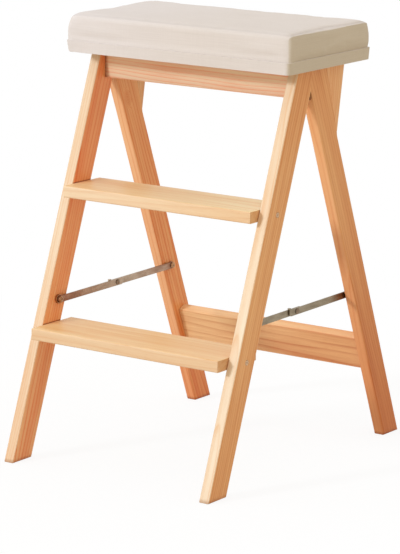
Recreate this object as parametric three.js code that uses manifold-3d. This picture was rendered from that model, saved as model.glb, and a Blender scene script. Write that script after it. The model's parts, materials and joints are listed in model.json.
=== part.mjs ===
// Folding step stool chair: two treads and an upholstered seat on a front frame of
// two leaning legs, hinged at the top to a rear frame, with a two-link steel stay on
// each side.
// Millimetres. Seen from the front, +X is to the right, +Y points to the back and
// +Z is up. The origin is on the floor at the middle of the footprint.

import * as THREE from 'three';
import { mergeVertices } from 'three/addons/utils/BufferGeometryUtils.js';
import Module from 'manifold-3d';

const wasm = await Module();
wasm.setup();

// Whole frame
const frameWidth = 380;              // over the outer faces of the legs
const footprintDepth = 516;          // front toe to rear heel, on the floor
const seatUndersideHeight = 605;     // where the legs are cut off level
const legMeeting = { back: -5.1, drop: 34.5 };   // where front and rear legs meet, below the seat
const fitGap = 0.3;                  // glued joints and resting faces
const runningGap = 0.35;             // between pieces that turn past each other
const cutOverrun = 2;                // how far a cutter passes through a face
const edgeEase = 1.5;                // broken corners on every board

// Legs
const legThickness = 18;
const frontLegWidth = 42.5;
const rearLegFootWidth = 39;         // the rear legs widen towards the seat
const rearLegBendWidth = 42.5;
const rearLegTopWidth = 50;
const earLength = 101;               // from the seat down the rear leg's back edge
const earFlare = 18.7;               // how far the ear's back edge leans back over that length
const earToe = 1.5;                  // blunt lower end of the ear

// Treads
const treadThickness = 18;
const stepRise = 207;                // from one tread's top to the next
const lowerTread = { top: 201, overhang: 28, depth: 99 };   // overhang ahead of the front legs
const upperTread = { top: lowerTread.top + stepRise, overhang: 24, depth: 91 };

// Apron under the seat and rail between the rear legs
const apronThickness = 18;
const apronHeight = 43;
const apronSetback = 24;             // its front face, ahead of the legs' meeting
const railThickness = 18;
const railWidth = 56;                // measured along the legs
const railBottomHeight = 105;        // lower front edge above the floor
const railSetback = 12.5;            // behind the rear legs' front edges

// Seat
const seatOverhang = 15;             // past the legs' outer faces
const seatDepth = 223;
const seatReach = 81.4;              // front edge ahead of the legs' meeting
const seatCornerRadius = 9;
const boardStackHeight = 18;         // covered board, top to bottom
const coverThickness = 1.2;
const coverTurnUnder = 28;           // cloth folded under the board's edge
const padHeight = 38;                // at its edges, above the covered board
const padCrown = 4;                  // extra height at the middle
const padTuck = 4.5;                 // how far the pad's lower edge is drawn in
const padRounding = 9.5;             // round shoulder of the pad
const padSideDraw = 1.6;             // how far each side is drawn in at its middle
const padTuckShares = [[0, 1], [0.12, 0.42], [0.3, 0.1], [0.6, 0]];   // of side height and of the tuck
const padCrownShares = [0.15, 0.35, 0.6, 0.85];   // rings of the top, from shoulder to middle

// Hinges let into the butting ends of the legs
const hingeKnuckleRadius = 3;
const hingePinRadius = 1.5;
const hingeLeafThickness = 1.5;
const hingeLeafHeight = 36;          // from the pin's centre upward
const hingeSideWall = 1;             // wood left on each side of the hinge
const hingeMiddleShare = 0.36;       // middle knuckle's part of that length
const hingePinHead = 0.5;            // pin end past the last knuckle
const hingeScrewShares = { lower: 0.44, upper: 0.8 };   // of the leaf's height

// Folding stays
const stayTreadGap = 34.5;           // front pivot above the lower tread's top
const stayRiseToRear = 3;            // rear pivot above the front one
const stayWidth = 10.5;
const stayThickness = 2;
const stayFrontShare = 0.54;         // front pivot across the front leg, from its front edge
const stayRearShare = 0.487;         // rear pivot across the rear leg, from its front edge
const stayJointBack = 1.1;           // middle joint behind the legs' meeting
const stayFrontTail = 15;            // front link past the middle joint
const stayRearTail = 20;             // rear link past the middle joint, with its stop
const stayPivotRadius = 2.4;
const stayStopLength = 4;            // bent tab that stops the stay when straight
const stayStopThickness = 1.8;
const rivetRadius = 2.6;
const rivetHeadRadius = 4.6;
const rivetHeadHeight = 1.6;
const rivetBackHeight = 0.9;
const panHeadShares = [[1, 0], [1, 0.35], [0.8, 0.8], [0.45, 1], [0, 1]];   // of radius and height
const rivetHeadShares = [[1, 0], [0.85, 0.6], [0.45, 1], [0, 1]];
const rivetBackShares = [[1, 0], [1, 0.5], [0.8, 1], [0, 1]];
const washerThickness = 1;
const washerRadius = 6.5;
const spacerRadius = 7;

// Screws and dowels
const woodScrew = { shank: 2.1, head: 4, headHeight: 2.6, length: 45 };
const hingeScrew = { shank: 1.3, head: 2.6, headHeight: 1.3, length: 9 };
const pivotScrew = { head: 5, headHeight: 2.4, length: 13 };
const seatScrewPocket = 8;           // counterbore in the apron's lower edge
const seatScrewBite = 9;             // into the seat's board
const treadScrewShare = 0.53;        // across the front leg, from its front edge
const treadDowelShare = 0.8;
const dowelRadius = 4;
const dowelInLeg = 10;
const dowelInBoard = 15;
const railDowelSpread = 14;          // each side of the rail's middle
const seatScrewSpread = 110;         // seat screws from the middle

// Facets
const roundSides = 16;
const dowelSides = 12;
const arcSteps = 8;
const padCornerSteps = 5;
const padSideSteps = 6;
const padShoulderSteps = 4;

// Lines of the side view, worked out from the sizes above
const crotchHeight = seatUndersideHeight - legMeeting.drop;
const seamBack = legMeeting.back;    // the butting faces stand upright here

// Lean of a board of a width, whose foot starts a run away from where its far edge meets the other board.
function leanFor(run, width) {
  return Math.acos(width / Math.hypot(run, crotchHeight)) - Math.atan2(crotchHeight, run);
}

const frontLean = leanFor(footprintDepth / 2 + seamBack, frontLegWidth);    // back, going up
const rearLean = leanFor(footprintDepth / 2 - seamBack, rearLegFootWidth);  // forward, going up
const frontLegSpan = frontLegWidth / Math.cos(frontLean);   // level width of a front leg
const earBendHeight = seatUndersideHeight - earLength;
const outerFace = frameWidth / 2;
const innerFace = outerFace - legThickness;
const legMiddle = outerFace - legThickness / 2;

function frontLegFront(z) {
  return -footprintDepth / 2 + z * Math.tan(frontLean);
}

function frontLegBack(z) {
  return frontLegFront(z) + frontLegSpan;
}

function rearLegFront(z) {
  return footprintDepth / 2 - rearLegFootWidth / Math.cos(rearLean) - z * Math.tan(rearLean);
}

// The rear legs' back edge runs straight from the foot to the bend, and from there to the top.
function rearLegBack(z) {
  const width = z < earBendHeight
    ? THREE.MathUtils.mapLinear(z, 0, earBendHeight, rearLegFootWidth, rearLegBendWidth)
    : THREE.MathUtils.mapLinear(z, earBendHeight, seatUndersideHeight, rearLegBendWidth, rearLegTopWidth);
  return rearLegFront(z) + width / Math.cos(rearLean);
}

// The pin lies under the crotch, as far from both legs as the knuckle needs.
const crotchAngle = frontLean + rearLean;
const pinDrop = (hingeKnuckleRadius + runningGap) / Math.sin(crotchAngle / 2);
const crotchBisector = (rearLean - frontLean) / 2;
const pinBack = seamBack + pinDrop * Math.sin(crotchBisector);
const pinHeight = crotchHeight - pinDrop * Math.cos(crotchBisector);

// Solids and booleans

function outward(geometry) {
  const position = geometry.getAttribute('position');
  const index = geometry.getIndex();
  const [a, b, c] = [new THREE.Vector3(), new THREE.Vector3(), new THREE.Vector3()];
  let volume = 0;
  for (let i = 0; i < index.count; i += 3) {
    a.fromBufferAttribute(position, index.getX(i));
    b.fromBufferAttribute(position, index.getX(i + 1));
    c.fromBufferAttribute(position, index.getX(i + 2));
    volume += a.dot(b.cross(c));
  }
  if (volume < 0) {
    const turned = Array.from(index.array);
    for (let i = 0; i < turned.length; i += 3) {
      [turned[i], turned[i + 1]] = [turned[i + 1], turned[i]];
    }
    geometry.setIndex(turned);
  }
  return geometry;
}

function welded(geometry) {
  const bare = geometry.clone();
  bare.deleteAttribute('normal');
  bare.deleteAttribute('uv');
  return outward(mergeVertices(bare));
}

function toSolid(geometry) {
  const closed = welded(geometry);
  return new wasm.Manifold(new wasm.Mesh({
    numProp: 3,
    vertProperties: Float32Array.from(closed.getAttribute('position').array),
    triVerts: Uint32Array.from(closed.getIndex().array),
  }));
}

function toGeometry(solid) {
  const mesh = solid.getMesh();
  const geometry = new THREE.BufferGeometry();
  geometry.setAttribute('position', new THREE.BufferAttribute(mesh.vertProperties, 3));
  geometry.setIndex(new THREE.BufferAttribute(mesh.triVerts, 1));
  return geometry;
}

function cut(geometry, cutters) {
  let solid = toSolid(geometry);
  for (const cutter of cutters) {
    solid = solid.subtract(toSolid(cutter));
  }
  return toGeometry(solid);
}

function join(pieces) {
  let solid = toSolid(pieces[0]);
  for (const piece of pieces.slice(1)) {
    solid = solid.add(toSolid(piece));
  }
  return toGeometry(solid);
}

// Turns a drawing made in (Y, Z) and pulled along its own normal to lie along X.
const sideViewToFrame = new THREE.Matrix4().makeBasis(
  new THREE.Vector3(0, 1, 0), new THREE.Vector3(0, 0, 1), new THREE.Vector3(1, 0, 0));

function shapeFrom(points) {
  return new THREE.Shape(points.map(([y, z]) => new THREE.Vector2(y, z)));
}

// A board whose side view is an outline in (Y, Z), from one X to another.
function sideBoard(shape, fromX, toX, ease = 0) {
  const geometry = new THREE.ExtrudeGeometry(shape, {
    depth: toX - fromX - 2 * ease,
    bevelEnabled: ease > 0,
    bevelThickness: ease,
    bevelSize: ease,
    bevelOffset: -ease,
    bevelSegments: 1,
    curveSegments: arcSteps,
  });
  geometry.translate(0, 0, fromX + ease);
  return geometry.applyMatrix4(sideViewToFrame);
}

// The end of a board, with its long corners broken.
function easedRectangle(width, height, ease) {
  return [
    [ease, 0], [width - ease, 0], [width, ease], [width, height - ease],
    [width - ease, height], [ease, height], [0, height - ease], [0, ease],
  ];
}

function box(fromX, toX, fromY, toY, fromZ, toZ) {
  const geometry = new THREE.BoxGeometry(toX - fromX, toY - fromY, toZ - fromZ);
  return geometry.translate((fromX + toX) / 2, (fromY + toY) / 2, (fromZ + toZ) / 2);
}

// A turned piece: its profile runs up the axis, which then points along a direction.
function turned(profile, direction, place, sides = roundSides) {
  const geometry = new THREE.LatheGeometry(profile.map(([r, h]) => new THREE.Vector2(r, h)), sides);
  const turn = new THREE.Quaternion().setFromUnitVectors(new THREE.Vector3(0, 1, 0), direction);
  return geometry.applyQuaternion(turn).translate(place.x, place.y, place.z);
}

function rod(radius, length, direction, place, sides = roundSides) {
  return turned([[0, 0], [radius, 0], [radius, length], [0, length]], direction, place, sides);
}

const right = new THREE.Vector3(1, 0, 0);
const back = new THREE.Vector3(0, 1, 0);
const up = new THREE.Vector3(0, 0, 1);
const down = up.clone().negate();

function point(x, y, z) {
  return new THREE.Vector3(x, y, z);
}

// A flat-topped wood screw: the head's face is at the place and looks along the direction.
function countersunkScrew(size, direction, place, gap = 0, overrun = 0) {
  const shank = size.shank + gap;
  const head = size.head + gap;
  const tip = size.length + gap;
  const profile = [[0, -tip], [shank, -tip + shank], [shank, -size.headHeight - gap], [head, -gap]];
  if (overrun > 0) {
    profile.push([head, overrun], [0, overrun]);
  } else {
    profile.push([0, 0]);
  }
  return turned(profile, direction, place);
}

// Materials

function wood(colour) {
  return new THREE.MeshStandardMaterial({ color: colour, roughness: 0.55, metalness: 0 });
}

function steel(colour, roughness = 0.4) {
  return new THREE.MeshStandardMaterial({ color: colour, roughness, metalness: 1 });
}

function cloth(colour) {
  return new THREE.MeshStandardMaterial({ color: colour, roughness: 0.95, metalness: 0 });
}

const frontWood = 0xd9a066;
const rearWood = 0xc98a52;
const treadWood = 0xf0cda0;
const hiddenWood = 0xd8b078;
const plyColour = 0xcaa77a;
const stayColour = 0x968770;
const screwColour = 0x9a8c78;
const clothColour = 0xe2d9d0;

const stool = new THREE.Group();
const frontFrame = new THREE.Group();
const rearFrame = new THREE.Group();
stool.add(frontFrame, rearFrame);

function add(group, name, geometry, material) {
  const flat = geometry.index ? geometry.toNonIndexed() : geometry;
  flat.computeVertexNormals();
  const mesh = new THREE.Mesh(flat, material);
  mesh.name = name;
  group.add(mesh);
  return mesh;
}

const sides = [['left', -1], ['right', 1]];

// Orders two X values, so that a piece can be named by side.
function span(side, near, far) {
  return side > 0 ? [near, far] : [-far, -near];
}

// Places of the joints between boards

const treads = { lower: lowerTread, upper: upperTread };

function treadScrewPlace(tread, side) {
  const z = tread.top - treadThickness / 2;
  return point(side * outerFace, frontLegFront(z) + treadScrewShare * frontLegSpan, z);
}

function treadDowelPlace(tread) {
  const z = tread.top - treadThickness / 2;
  return [frontLegFront(z) + treadDowelShare * frontLegSpan, z];
}

function treadFront(tread) {
  return frontLegFront(tread.top) - tread.overhang;
}

const apronTop = seatUndersideHeight - fitGap;
const apronBottom = apronTop - apronHeight;
const apronFront = seamBack - apronSetback;
const apronMiddle = [apronFront + apronThickness / 2, (apronTop + apronBottom) / 2];
const seatScrewLength = seatUndersideHeight + coverThickness + seatScrewBite - apronBottom - seatScrewPocket;
const seatScrew = { ...woodScrew, length: seatScrewLength };

function seatScrewPlace(side) {
  return point(side * seatScrewSpread, apronMiddle[0], apronBottom + seatScrewPocket);
}

// The rail stands in the slanted plane of the rear legs.
const rearUp = [-Math.sin(rearLean), Math.cos(rearLean)];
const rearInto = [Math.cos(rearLean), Math.sin(rearLean)];
const railCorner = [
  rearLegFront(railBottomHeight) + railSetback * rearInto[0],
  railBottomHeight + railSetback * rearInto[1],
];

function onRail(into, along) {
  return [
    railCorner[0] + into * rearInto[0] + along * rearUp[0],
    railCorner[1] + into * rearInto[1] + along * rearUp[1],
  ];
}

const railDowelPlaces = {
  lower: onRail(railThickness / 2, railWidth / 2 - railDowelSpread),
  upper: onRail(railThickness / 2, railWidth / 2 + railDowelSpread),
};

function dowel(side, [y, z], gap = 0) {
  const [from] = span(side, innerFace - dowelInBoard - gap, innerFace + dowelInLeg + gap);
  return rod(dowelRadius + gap, dowelInBoard + dowelInLeg + 2 * gap, right, point(from, y, z), dowelSides);
}

// Stays: pivot places when the stool stands open
const stayFrontHeight = lowerTread.top + stayTreadGap;
const stayRearHeight = stayFrontHeight + stayRiseToRear;
const stayFrontPivot = [frontLegFront(stayFrontHeight) + stayFrontShare * frontLegSpan, stayFrontHeight];
const stayRearPivot = [
  rearLegFront(stayRearHeight) + (stayRearShare * rearLegFootWidth) / Math.cos(rearLean), stayRearHeight];
const stayLean = Math.atan2(stayRearPivot[1] - stayFrontPivot[1], stayRearPivot[0] - stayFrontPivot[0]);
const stayJointY = seamBack + stayJointBack;
const stayJoint = [stayJointY, stayFrontPivot[1] + (stayJointY - stayFrontPivot[0]) * Math.tan(stayLean)];
const washerOuter = innerFace - fitGap;
const washerInner = washerOuter - washerThickness;
const rearLinkOuter = washerInner - runningGap;
const rearLinkInner = rearLinkOuter - stayThickness;
const frontLinkOuter = rearLinkInner - runningGap;
const frontLinkInner = frontLinkOuter - stayThickness;
const spacerInner = frontLinkOuter + runningGap;
const pivotTip = { front: frontLinkInner - runningGap, rear: rearLinkInner - runningGap };

function pivotBore(side, [y, z]) {
  const [from, to] = span(side, innerFace - cutOverrun, innerFace + pivotScrew.length);
  return rod(stayPivotRadius + fitGap, to - from, right, point(from, y, z));
}

// Hinge leaves, knuckles and the room that they need in the legs
const hingeFrom = innerFace + hingeSideWall;
const hingeTo = outerFace - hingeSideWall;
const hingeLength = hingeTo - hingeFrom;   // along the pin
const middleKnuckle = hingeLength * hingeMiddleShare;
const outerKnuckle = (hingeLength - middleKnuckle) / 2;
const leafTop = pinHeight + hingeLeafHeight;
const leafWay = fitGap / 2;          // half of the gap between the closed leaves

function knuckleSpans(side, which) {
  const [from, to] = span(side, hingeFrom, hingeTo);
  if (which === 'front') {
    return [[from, from + outerKnuckle - runningGap / 2], [to - outerKnuckle + runningGap / 2, to]];
  }
  return [[from + outerKnuckle + runningGap / 2, to - outerKnuckle - runningGap / 2]];
}

function knuckle(fromX, toX, gap = 0) {
  return rod(hingeKnuckleRadius + gap, toX - fromX, right, point(fromX, pinBack, pinHeight));
}

function hingeLeaf(side, which) {
  const [from, to] = span(side, hingeFrom, hingeTo);
  const face = which === 'front' ? -1 : 1;
  const near = seamBack + face * leafWay;
  const far = near + face * hingeLeafThickness;
  const plate = box(from, to, Math.min(near, far), Math.max(near, far), pinHeight, leafTop);
  const own = knuckleSpans(side, which).map(([a, b]) => knuckle(a, b));
  const other = which === 'front' ? 'rear' : 'front';
  const clear = knuckleSpans(side, other).map(
    ([a, b]) => knuckle(a - runningGap, b + runningGap, runningGap));
  const pinBore = rod(hingePinRadius + runningGap, to - from + 2 * cutOverrun, right,
    point(from - cutOverrun, pinBack, pinHeight));
  const screws = Object.values(hingeScrewPlaces(side, which)).map(
    (place) => countersunkScrew(hingeScrew, hingeFacing(which), place, fitGap, cutOverrun));
  return cut(join([cut(plate, clear), ...own]), [pinBore, ...screws]);
}

function hingeFacing(which) {
  return which === 'front' ? back : back.clone().negate();
}

function hingeScrewPlaces(side, which) {
  const face = which === 'front' ? -1 : 1;
  const places = {};
  for (const [row, share] of Object.entries(hingeScrewShares)) {
    places[row] = point(side * legMiddle, seamBack + face * leafWay, pinHeight + share * hingeLeafHeight);
  }
  return places;
}

// Room for one leaf, its screws and the knuckles, taken out of a leg.
function hingeRoom(side, which) {
  const [from, to] = span(side, hingeFrom - fitGap, hingeTo + fitGap);
  const face = which === 'front' ? -1 : 1;
  const near = seamBack - face * cutOverrun;
  const far = seamBack + face * (leafWay + hingeLeafThickness + fitGap);
  const pocket = box(from, to, Math.min(near, far), Math.max(near, far), pinHeight, leafTop + fitGap);
  const barrel = knuckle(from - cutOverrun, to + cutOverrun, runningGap);
  const screws = Object.values(hingeScrewPlaces(side, which)).map(
    (place) => countersunkScrew(hingeScrew, hingeFacing(which), place, fitGap));
  return [pocket, barrel, ...screws];
}

// Front frame

function frontLeg(side) {
  const top = apronTop;
  const outline = shapeFrom([
    [frontLegFront(0), 0],
    [frontLegBack(0), 0],
    [seamBack - fitGap / 2, crotchHeight],
    [seamBack - fitGap / 2, top],
    [frontLegFront(top), top],
  ]);
  const [from, to] = span(side, innerFace, outerFace);
  const cutters = [...hingeRoom(side, 'front'), pivotBore(side, stayFrontPivot)];
  for (const tread of Object.values(treads)) {
    cutters.push(countersunkScrew(
      woodScrew, right.clone().multiplyScalar(side), treadScrewPlace(tread, side), fitGap, cutOverrun));
    cutters.push(dowel(side, treadDowelPlace(tread), fitGap));
  }
  cutters.push(dowel(side, apronMiddle, fitGap));
  return cut(sideBoard(outline, from, to, edgeEase), cutters);
}

function treadBoard(tread) {
  const outline = shapeFrom(
    easedRectangle(tread.depth, treadThickness, edgeEase)
      .map(([y, z]) => [treadFront(tread) + y, tread.top - treadThickness + z]));
  const half = innerFace - fitGap;
  const cutters = [];
  for (const [, side] of sides) {
    cutters.push(countersunkScrew(
      woodScrew, right.clone().multiplyScalar(side), treadScrewPlace(tread, side), fitGap));
    cutters.push(dowel(side, treadDowelPlace(tread), fitGap));
  }
  return cut(sideBoard(outline, -half, half), cutters);
}

function apronBoard() {
  const outline = shapeFrom(
    easedRectangle(apronThickness, apronHeight, edgeEase).map(([y, z]) => [apronFront + y, apronBottom + z]));
  const half = innerFace - fitGap;
  const cutters = [];
  for (const [, side] of sides) {
    cutters.push(dowel(side, apronMiddle, fitGap));
    cutters.push(countersunkScrew(
      seatScrew, down, seatScrewPlace(side), fitGap, cutOverrun + seatScrewPocket));
  }
  return cut(sideBoard(outline, -half, half), cutters);
}

// Covered board and pad

const seatWidth = frameWidth + 2 * seatOverhang;
const seatFront = seamBack - seatReach;
const boardBottom = seatUndersideHeight + coverThickness;
const boardTop = seatUndersideHeight + boardStackHeight - coverThickness;

function plateOutline(inset) {
  const half = seatWidth / 2 - inset;
  const front = seatFront + inset;
  const rear = seatFront + seatDepth - inset;
  const radius = Math.max(seatCornerRadius - inset, edgeEase);
  const shape = new THREE.Shape();
  shape.moveTo(-half + radius, front);
  shape.lineTo(half - radius, front);
  shape.absarc(half - radius, front + radius, radius, -Math.PI / 2, 0);
  shape.lineTo(half, rear - radius);
  shape.absarc(half - radius, rear - radius, radius, 0, Math.PI / 2);
  shape.lineTo(-half + radius, rear);
  shape.absarc(-half + radius, rear - radius, radius, Math.PI / 2, Math.PI);
  shape.lineTo(-half, front + radius);
  shape.absarc(-half + radius, front + radius, radius, Math.PI, Math.PI * 1.5);
  return shape;
}

function plate(inset, fromZ, toZ, ease = 0) {
  const geometry = new THREE.ExtrudeGeometry(plateOutline(inset), {
    depth: toZ - fromZ - 2 * ease,
    bevelEnabled: ease > 0,
    bevelThickness: ease,
    bevelSize: ease,
    bevelOffset: -ease,
    bevelSegments: 2,
    curveSegments: arcSteps / 2,
  });
  return geometry.translate(0, 0, fromZ + ease);
}

function seatBoard() {
  const inset = coverThickness + fitGap;
  const cutters = sides.map(([, side]) => countersunkScrew(seatScrew, down, seatScrewPlace(side), fitGap));
  return cut(plate(inset, boardBottom + fitGap, boardTop - fitGap), cutters);
}

function seatCover() {
  const outer = plate(0, seatUndersideHeight, seatUndersideHeight + boardStackHeight, coverThickness);
  const hollow = plate(coverThickness, boardBottom, boardTop);
  const window = plate(coverTurnUnder, seatUndersideHeight - cutOverrun, boardBottom + fitGap);
  const screws = sides.map(([, side]) => countersunkScrew(seatScrew, down, seatScrewPlace(side), fitGap));
  return cut(outer, [hollow, window, ...screws]);
}

// Points round a rectangle with round corners whose sides are drawn in at their middles.
function padRing(inset, drawShare) {
  const halfX = seatWidth / 2 - inset;
  const halfY = seatDepth / 2 - inset;
  const radius = Math.max(seatCornerRadius + padRounding / 2 - inset, edgeEase);
  const middleY = seatFront + seatDepth / 2;
  const ring = [];
  const corners = [[1, -1], [1, 1], [-1, 1], [-1, -1]];
  corners.forEach(([sx, sy], k) => {
    for (let i = 0; i <= padCornerSteps; i += 1) {
      const angle = (k - 1 + i / padCornerSteps) * (Math.PI / 2);
      ring.push([
        sx * (halfX - radius) + radius * Math.cos(angle),
        middleY + sy * (halfY - radius) + radius * Math.sin(angle),
      ]);
    }
    const alongY = k % 2 === 0;
    for (let i = 1; i < padSideSteps; i += 1) {
      const share = i / padSideSteps;
      const draw = padSideDraw * drawShare * Math.sin(share * Math.PI);
      if (alongY) {
        ring.push([sx * (halfX - draw), middleY + sy * (halfY - radius) * (1 - 2 * share)]);
      } else {
        ring.push([sx * (halfX - radius) * (1 - 2 * share), middleY + sy * (halfY - draw)]);
      }
    }
  });
  return ring;
}

function seatPad() {
  const bottom = seatUndersideHeight + boardStackHeight + fitGap;
  const shoulder = bottom + padHeight - padRounding;
  const rings = [];
  for (const [heightShare, insetShare] of padTuckShares) {
    rings.push({ z: bottom + heightShare * (shoulder - bottom), inset: insetShare * padTuck, draw: 1 });
  }
  for (let i = 0; i <= padShoulderSteps; i += 1) {
    const angle = (i / padShoulderSteps) * (Math.PI / 2);
    rings.push({
      z: shoulder + padRounding * Math.sin(angle),
      inset: padRounding * (1 - Math.cos(angle)),
      draw: 1,
    });
  }
  const crownReach = seatDepth / 2 - padRounding;
  for (const share of padCrownShares) {
    rings.push({
      z: bottom + padHeight + padCrown * (1 - (1 - share) ** 2),
      inset: padRounding + share * crownReach,
      draw: 1 - share,
    });
  }
  const outlines = rings.map(({ inset, draw }) => padRing(inset, draw));
  const count = outlines[0].length;
  const places = [];
  outlines.forEach((outline, k) => {
    outline.forEach(([x, y]) => places.push(x, y, rings[k].z));
  });
  const middleY = seatFront + seatDepth / 2;
  const faces = [];
  for (let k = 0; k + 1 < outlines.length; k += 1) {
    for (let i = 0; i < count; i += 1) {
      const j = (i + 1) % count;
      faces.push(k * count + i, k * count + j, (k + 1) * count + j);
      faces.push(k * count + i, (k + 1) * count + j, (k + 1) * count + i);
    }
  }
  const lowMiddle = places.length / 3;
  places.push(0, middleY, bottom);
  const highMiddle = lowMiddle + 1;
  places.push(0, middleY, bottom + padHeight + padCrown);
  const last = (outlines.length - 1) * count;
  for (let i = 0; i < count; i += 1) {
    const j = (i + 1) % count;
    faces.push(lowMiddle, j, i);
    faces.push(highMiddle, last + i, last + j);
  }
  const geometry = new THREE.BufferGeometry();
  geometry.setAttribute('position', new THREE.Float32BufferAttribute(places, 3));
  geometry.setIndex(faces);
  return outward(geometry);
}

for (const [name, side] of sides) {
  add(frontFrame, `front_leg_${name}`, frontLeg(side), wood(frontWood));
}
add(frontFrame, 'tread_lower', treadBoard(lowerTread), wood(treadWood));
add(frontFrame, 'tread_upper', treadBoard(upperTread), wood(treadWood));
add(frontFrame, 'apron_front', apronBoard(), wood(frontWood));
add(frontFrame, 'seat_board', seatBoard(), wood(plyColour));
add(frontFrame, 'seat_board_cover', seatCover(), cloth(clothColour));
add(frontFrame, 'seat_pad', seatPad(), cloth(clothColour));

for (const [name, side] of sides) {
  const facing = right.clone().multiplyScalar(side);
  for (const [level, tread] of Object.entries(treads)) {
    add(frontFrame, `tread_screw_${level}_${name}`,
      countersunkScrew(woodScrew, facing, treadScrewPlace(tread, side)), steel(screwColour));
    add(frontFrame, `tread_dowel_${level}_${name}`, dowel(side, treadDowelPlace(tread)), wood(hiddenWood));
  }
  add(frontFrame, `apron_dowel_${name}`, dowel(side, apronMiddle), wood(hiddenWood));
  add(frontFrame, `seat_screw_${name}`, countersunkScrew(seatScrew, down, seatScrewPlace(side)),
    steel(screwColour));
}

// Rear frame

// The ear is glued to the leg's straight back edge and stops level under the seat.
const rearTop = apronTop;
const earTopBack = rearLegBack(earBendHeight) + earFlare;

function rearLeg(side) {
  const outline = shapeFrom([
    [rearLegFront(0), 0],
    [rearLegBack(0), 0],
    [rearLegBack(earBendHeight), earBendHeight],
    [rearLegBack(rearTop), rearTop],
    [seamBack + fitGap / 2, rearTop],
    [seamBack + fitGap / 2, crotchHeight],
  ]);
  const [from, to] = span(side, innerFace, outerFace);
  const cutters = [...hingeRoom(side, 'rear'), pivotBore(side, stayRearPivot)];
  cutters.push(...Object.values(railDowelPlaces).map((place) => dowel(side, place, fitGap)));
  return cut(sideBoard(outline, from, to, edgeEase), cutters);
}

function rearEar(side) {
  const glue = fitGap / Math.cos(rearLean);
  const outline = shapeFrom([
    [rearLegBack(earBendHeight) + glue, earBendHeight],
    [rearLegBack(earBendHeight) + glue + earToe, earBendHeight],
    [earTopBack + glue, rearTop],
    [rearLegBack(rearTop) + glue, rearTop],
  ]);
  const [from, to] = span(side, innerFace, outerFace);
  return sideBoard(outline, from, to);
}

function railBoard() {
  const outline = shapeFrom(
    easedRectangle(railThickness, railWidth, edgeEase).map(([into, along]) => onRail(into, along)));
  const half = innerFace - fitGap;
  const cutters = sides.flatMap(
    ([, side]) => Object.values(railDowelPlaces).map((place) => dowel(side, place, fitGap)));
  return cut(sideBoard(outline, -half, half), cutters);
}

for (const [name, side] of sides) {
  add(rearFrame, `rear_leg_${name}`, rearLeg(side), wood(rearWood));
  add(rearFrame, `rear_ear_${name}`, rearEar(side), wood(rearWood));
  for (const [row, place] of Object.entries(railDowelPlaces)) {
    add(rearFrame, `rail_dowel_${row}_${name}`, dowel(side, place), wood(hiddenWood));
  }
}
add(rearFrame, 'rear_rail', railBoard(), wood(rearWood));

// Hinges

for (const [name, side] of sides) {
  const [from, to] = span(side, hingeFrom, hingeTo);
  add(frontFrame, `hinge_front_leaf_${name}`, hingeLeaf(side, 'front'), steel(stayColour));
  add(rearFrame, `hinge_rear_leaf_${name}`, hingeLeaf(side, 'rear'), steel(stayColour));
  add(frontFrame, `hinge_pin_${name}`, rod(
    hingePinRadius, to - from + 2 * hingePinHead, right, point(from - hingePinHead, pinBack, pinHeight)),
  steel(stayColour));
  for (const [which, group] of [['front', frontFrame], ['rear', rearFrame]]) {
    for (const [row, place] of Object.entries(hingeScrewPlaces(side, which))) {
      add(group, `hinge_screw_${which}_${row}_${name}`,
        countersunkScrew(hingeScrew, hingeFacing(which), place), steel(screwColour));
    }
  }
}

// Stays

// Length of a link between its leg pivot and the middle joint.
function linkReach(pivot) {
  return Math.hypot(stayJoint[0] - pivot[0], stayJoint[1] - pivot[1]);
}

// A flat link drawn level, with its leg pivot at zero and its tail past the middle joint.
// The front link runs to the back (way 1) and the rear link to the front (way -1).
function linkShape(way, reach, tail) {
  const radius = stayWidth / 2;
  const end = way * (reach + tail - radius);
  const shape = new THREE.Shape();
  shape.absarc(Math.max(0, end), 0, radius, -Math.PI / 2, Math.PI / 2);
  shape.absarc(Math.min(0, end), 0, radius, Math.PI / 2, Math.PI * 1.5);
  for (const [along, bore] of [[0, stayPivotRadius], [way * reach, rivetRadius]]) {
    const hole = new THREE.Path();
    hole.absarc(along, 0, bore + fitGap, 0, Math.PI * 2);
    shape.holes.push(hole);
  }
  return shape;
}

// Lays a level drawing along the open stay, with its zero at a pivot.
function alongStay(geometry, [y, z]) {
  return geometry.rotateX(stayLean).translate(0, y, z);
}

function frontLink(side) {
  const [from, to] = span(side, frontLinkInner, frontLinkOuter);
  const shape = linkShape(1, linkReach(stayFrontPivot), stayFrontTail);
  return alongStay(sideBoard(shape, from, to), stayFrontPivot);
}

// The rear link ends in a tab bent over the front link, which holds the stay straight.
function rearLink(side) {
  const [from, to] = span(side, rearLinkInner, rearLinkOuter);
  const reach = linkReach(stayRearPivot);
  const flat = sideBoard(linkShape(-1, reach, stayRearTail), from, to);
  const tabFrom = -reach - stayRearTail;
  const tabTo = tabFrom + stayStopLength;
  const tabBottom = stayWidth / 2 + runningGap;
  const tabTop = tabBottom + stayStopThickness;
  const [acrossFrom, acrossTo] = span(side, frontLinkInner, rearLinkOuter);
  const tab = box(acrossFrom, acrossTo, tabFrom, tabTo, tabBottom, tabTop);
  const root = box(from, to, tabFrom, tabTo, 0, tabTop);
  return alongStay(join([flat, root, tab]), stayRearPivot);
}

// A round head from its shares of radius and height, standing on a given height.
function headProfile(shares, radius, height, stand = 0) {
  return shares.map(([radiusShare, heightShare]) => [radiusShare * radius, stand + heightShare * height]);
}

function pivotScrewSolid(side, [y, z], tip) {
  const facing = right.clone().multiplyScalar(-side);
  const { head, headHeight, length } = pivotScrew;
  const shankEnd = innerFace + length - fitGap - tip;
  const profile = [
    [0, -shankEnd],
    [stayPivotRadius, -shankEnd + stayPivotRadius],
    [stayPivotRadius, 0],
    ...headProfile(panHeadShares, head, headHeight),
  ];
  return turned(profile, facing, point(side * tip, y, z));
}

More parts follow.
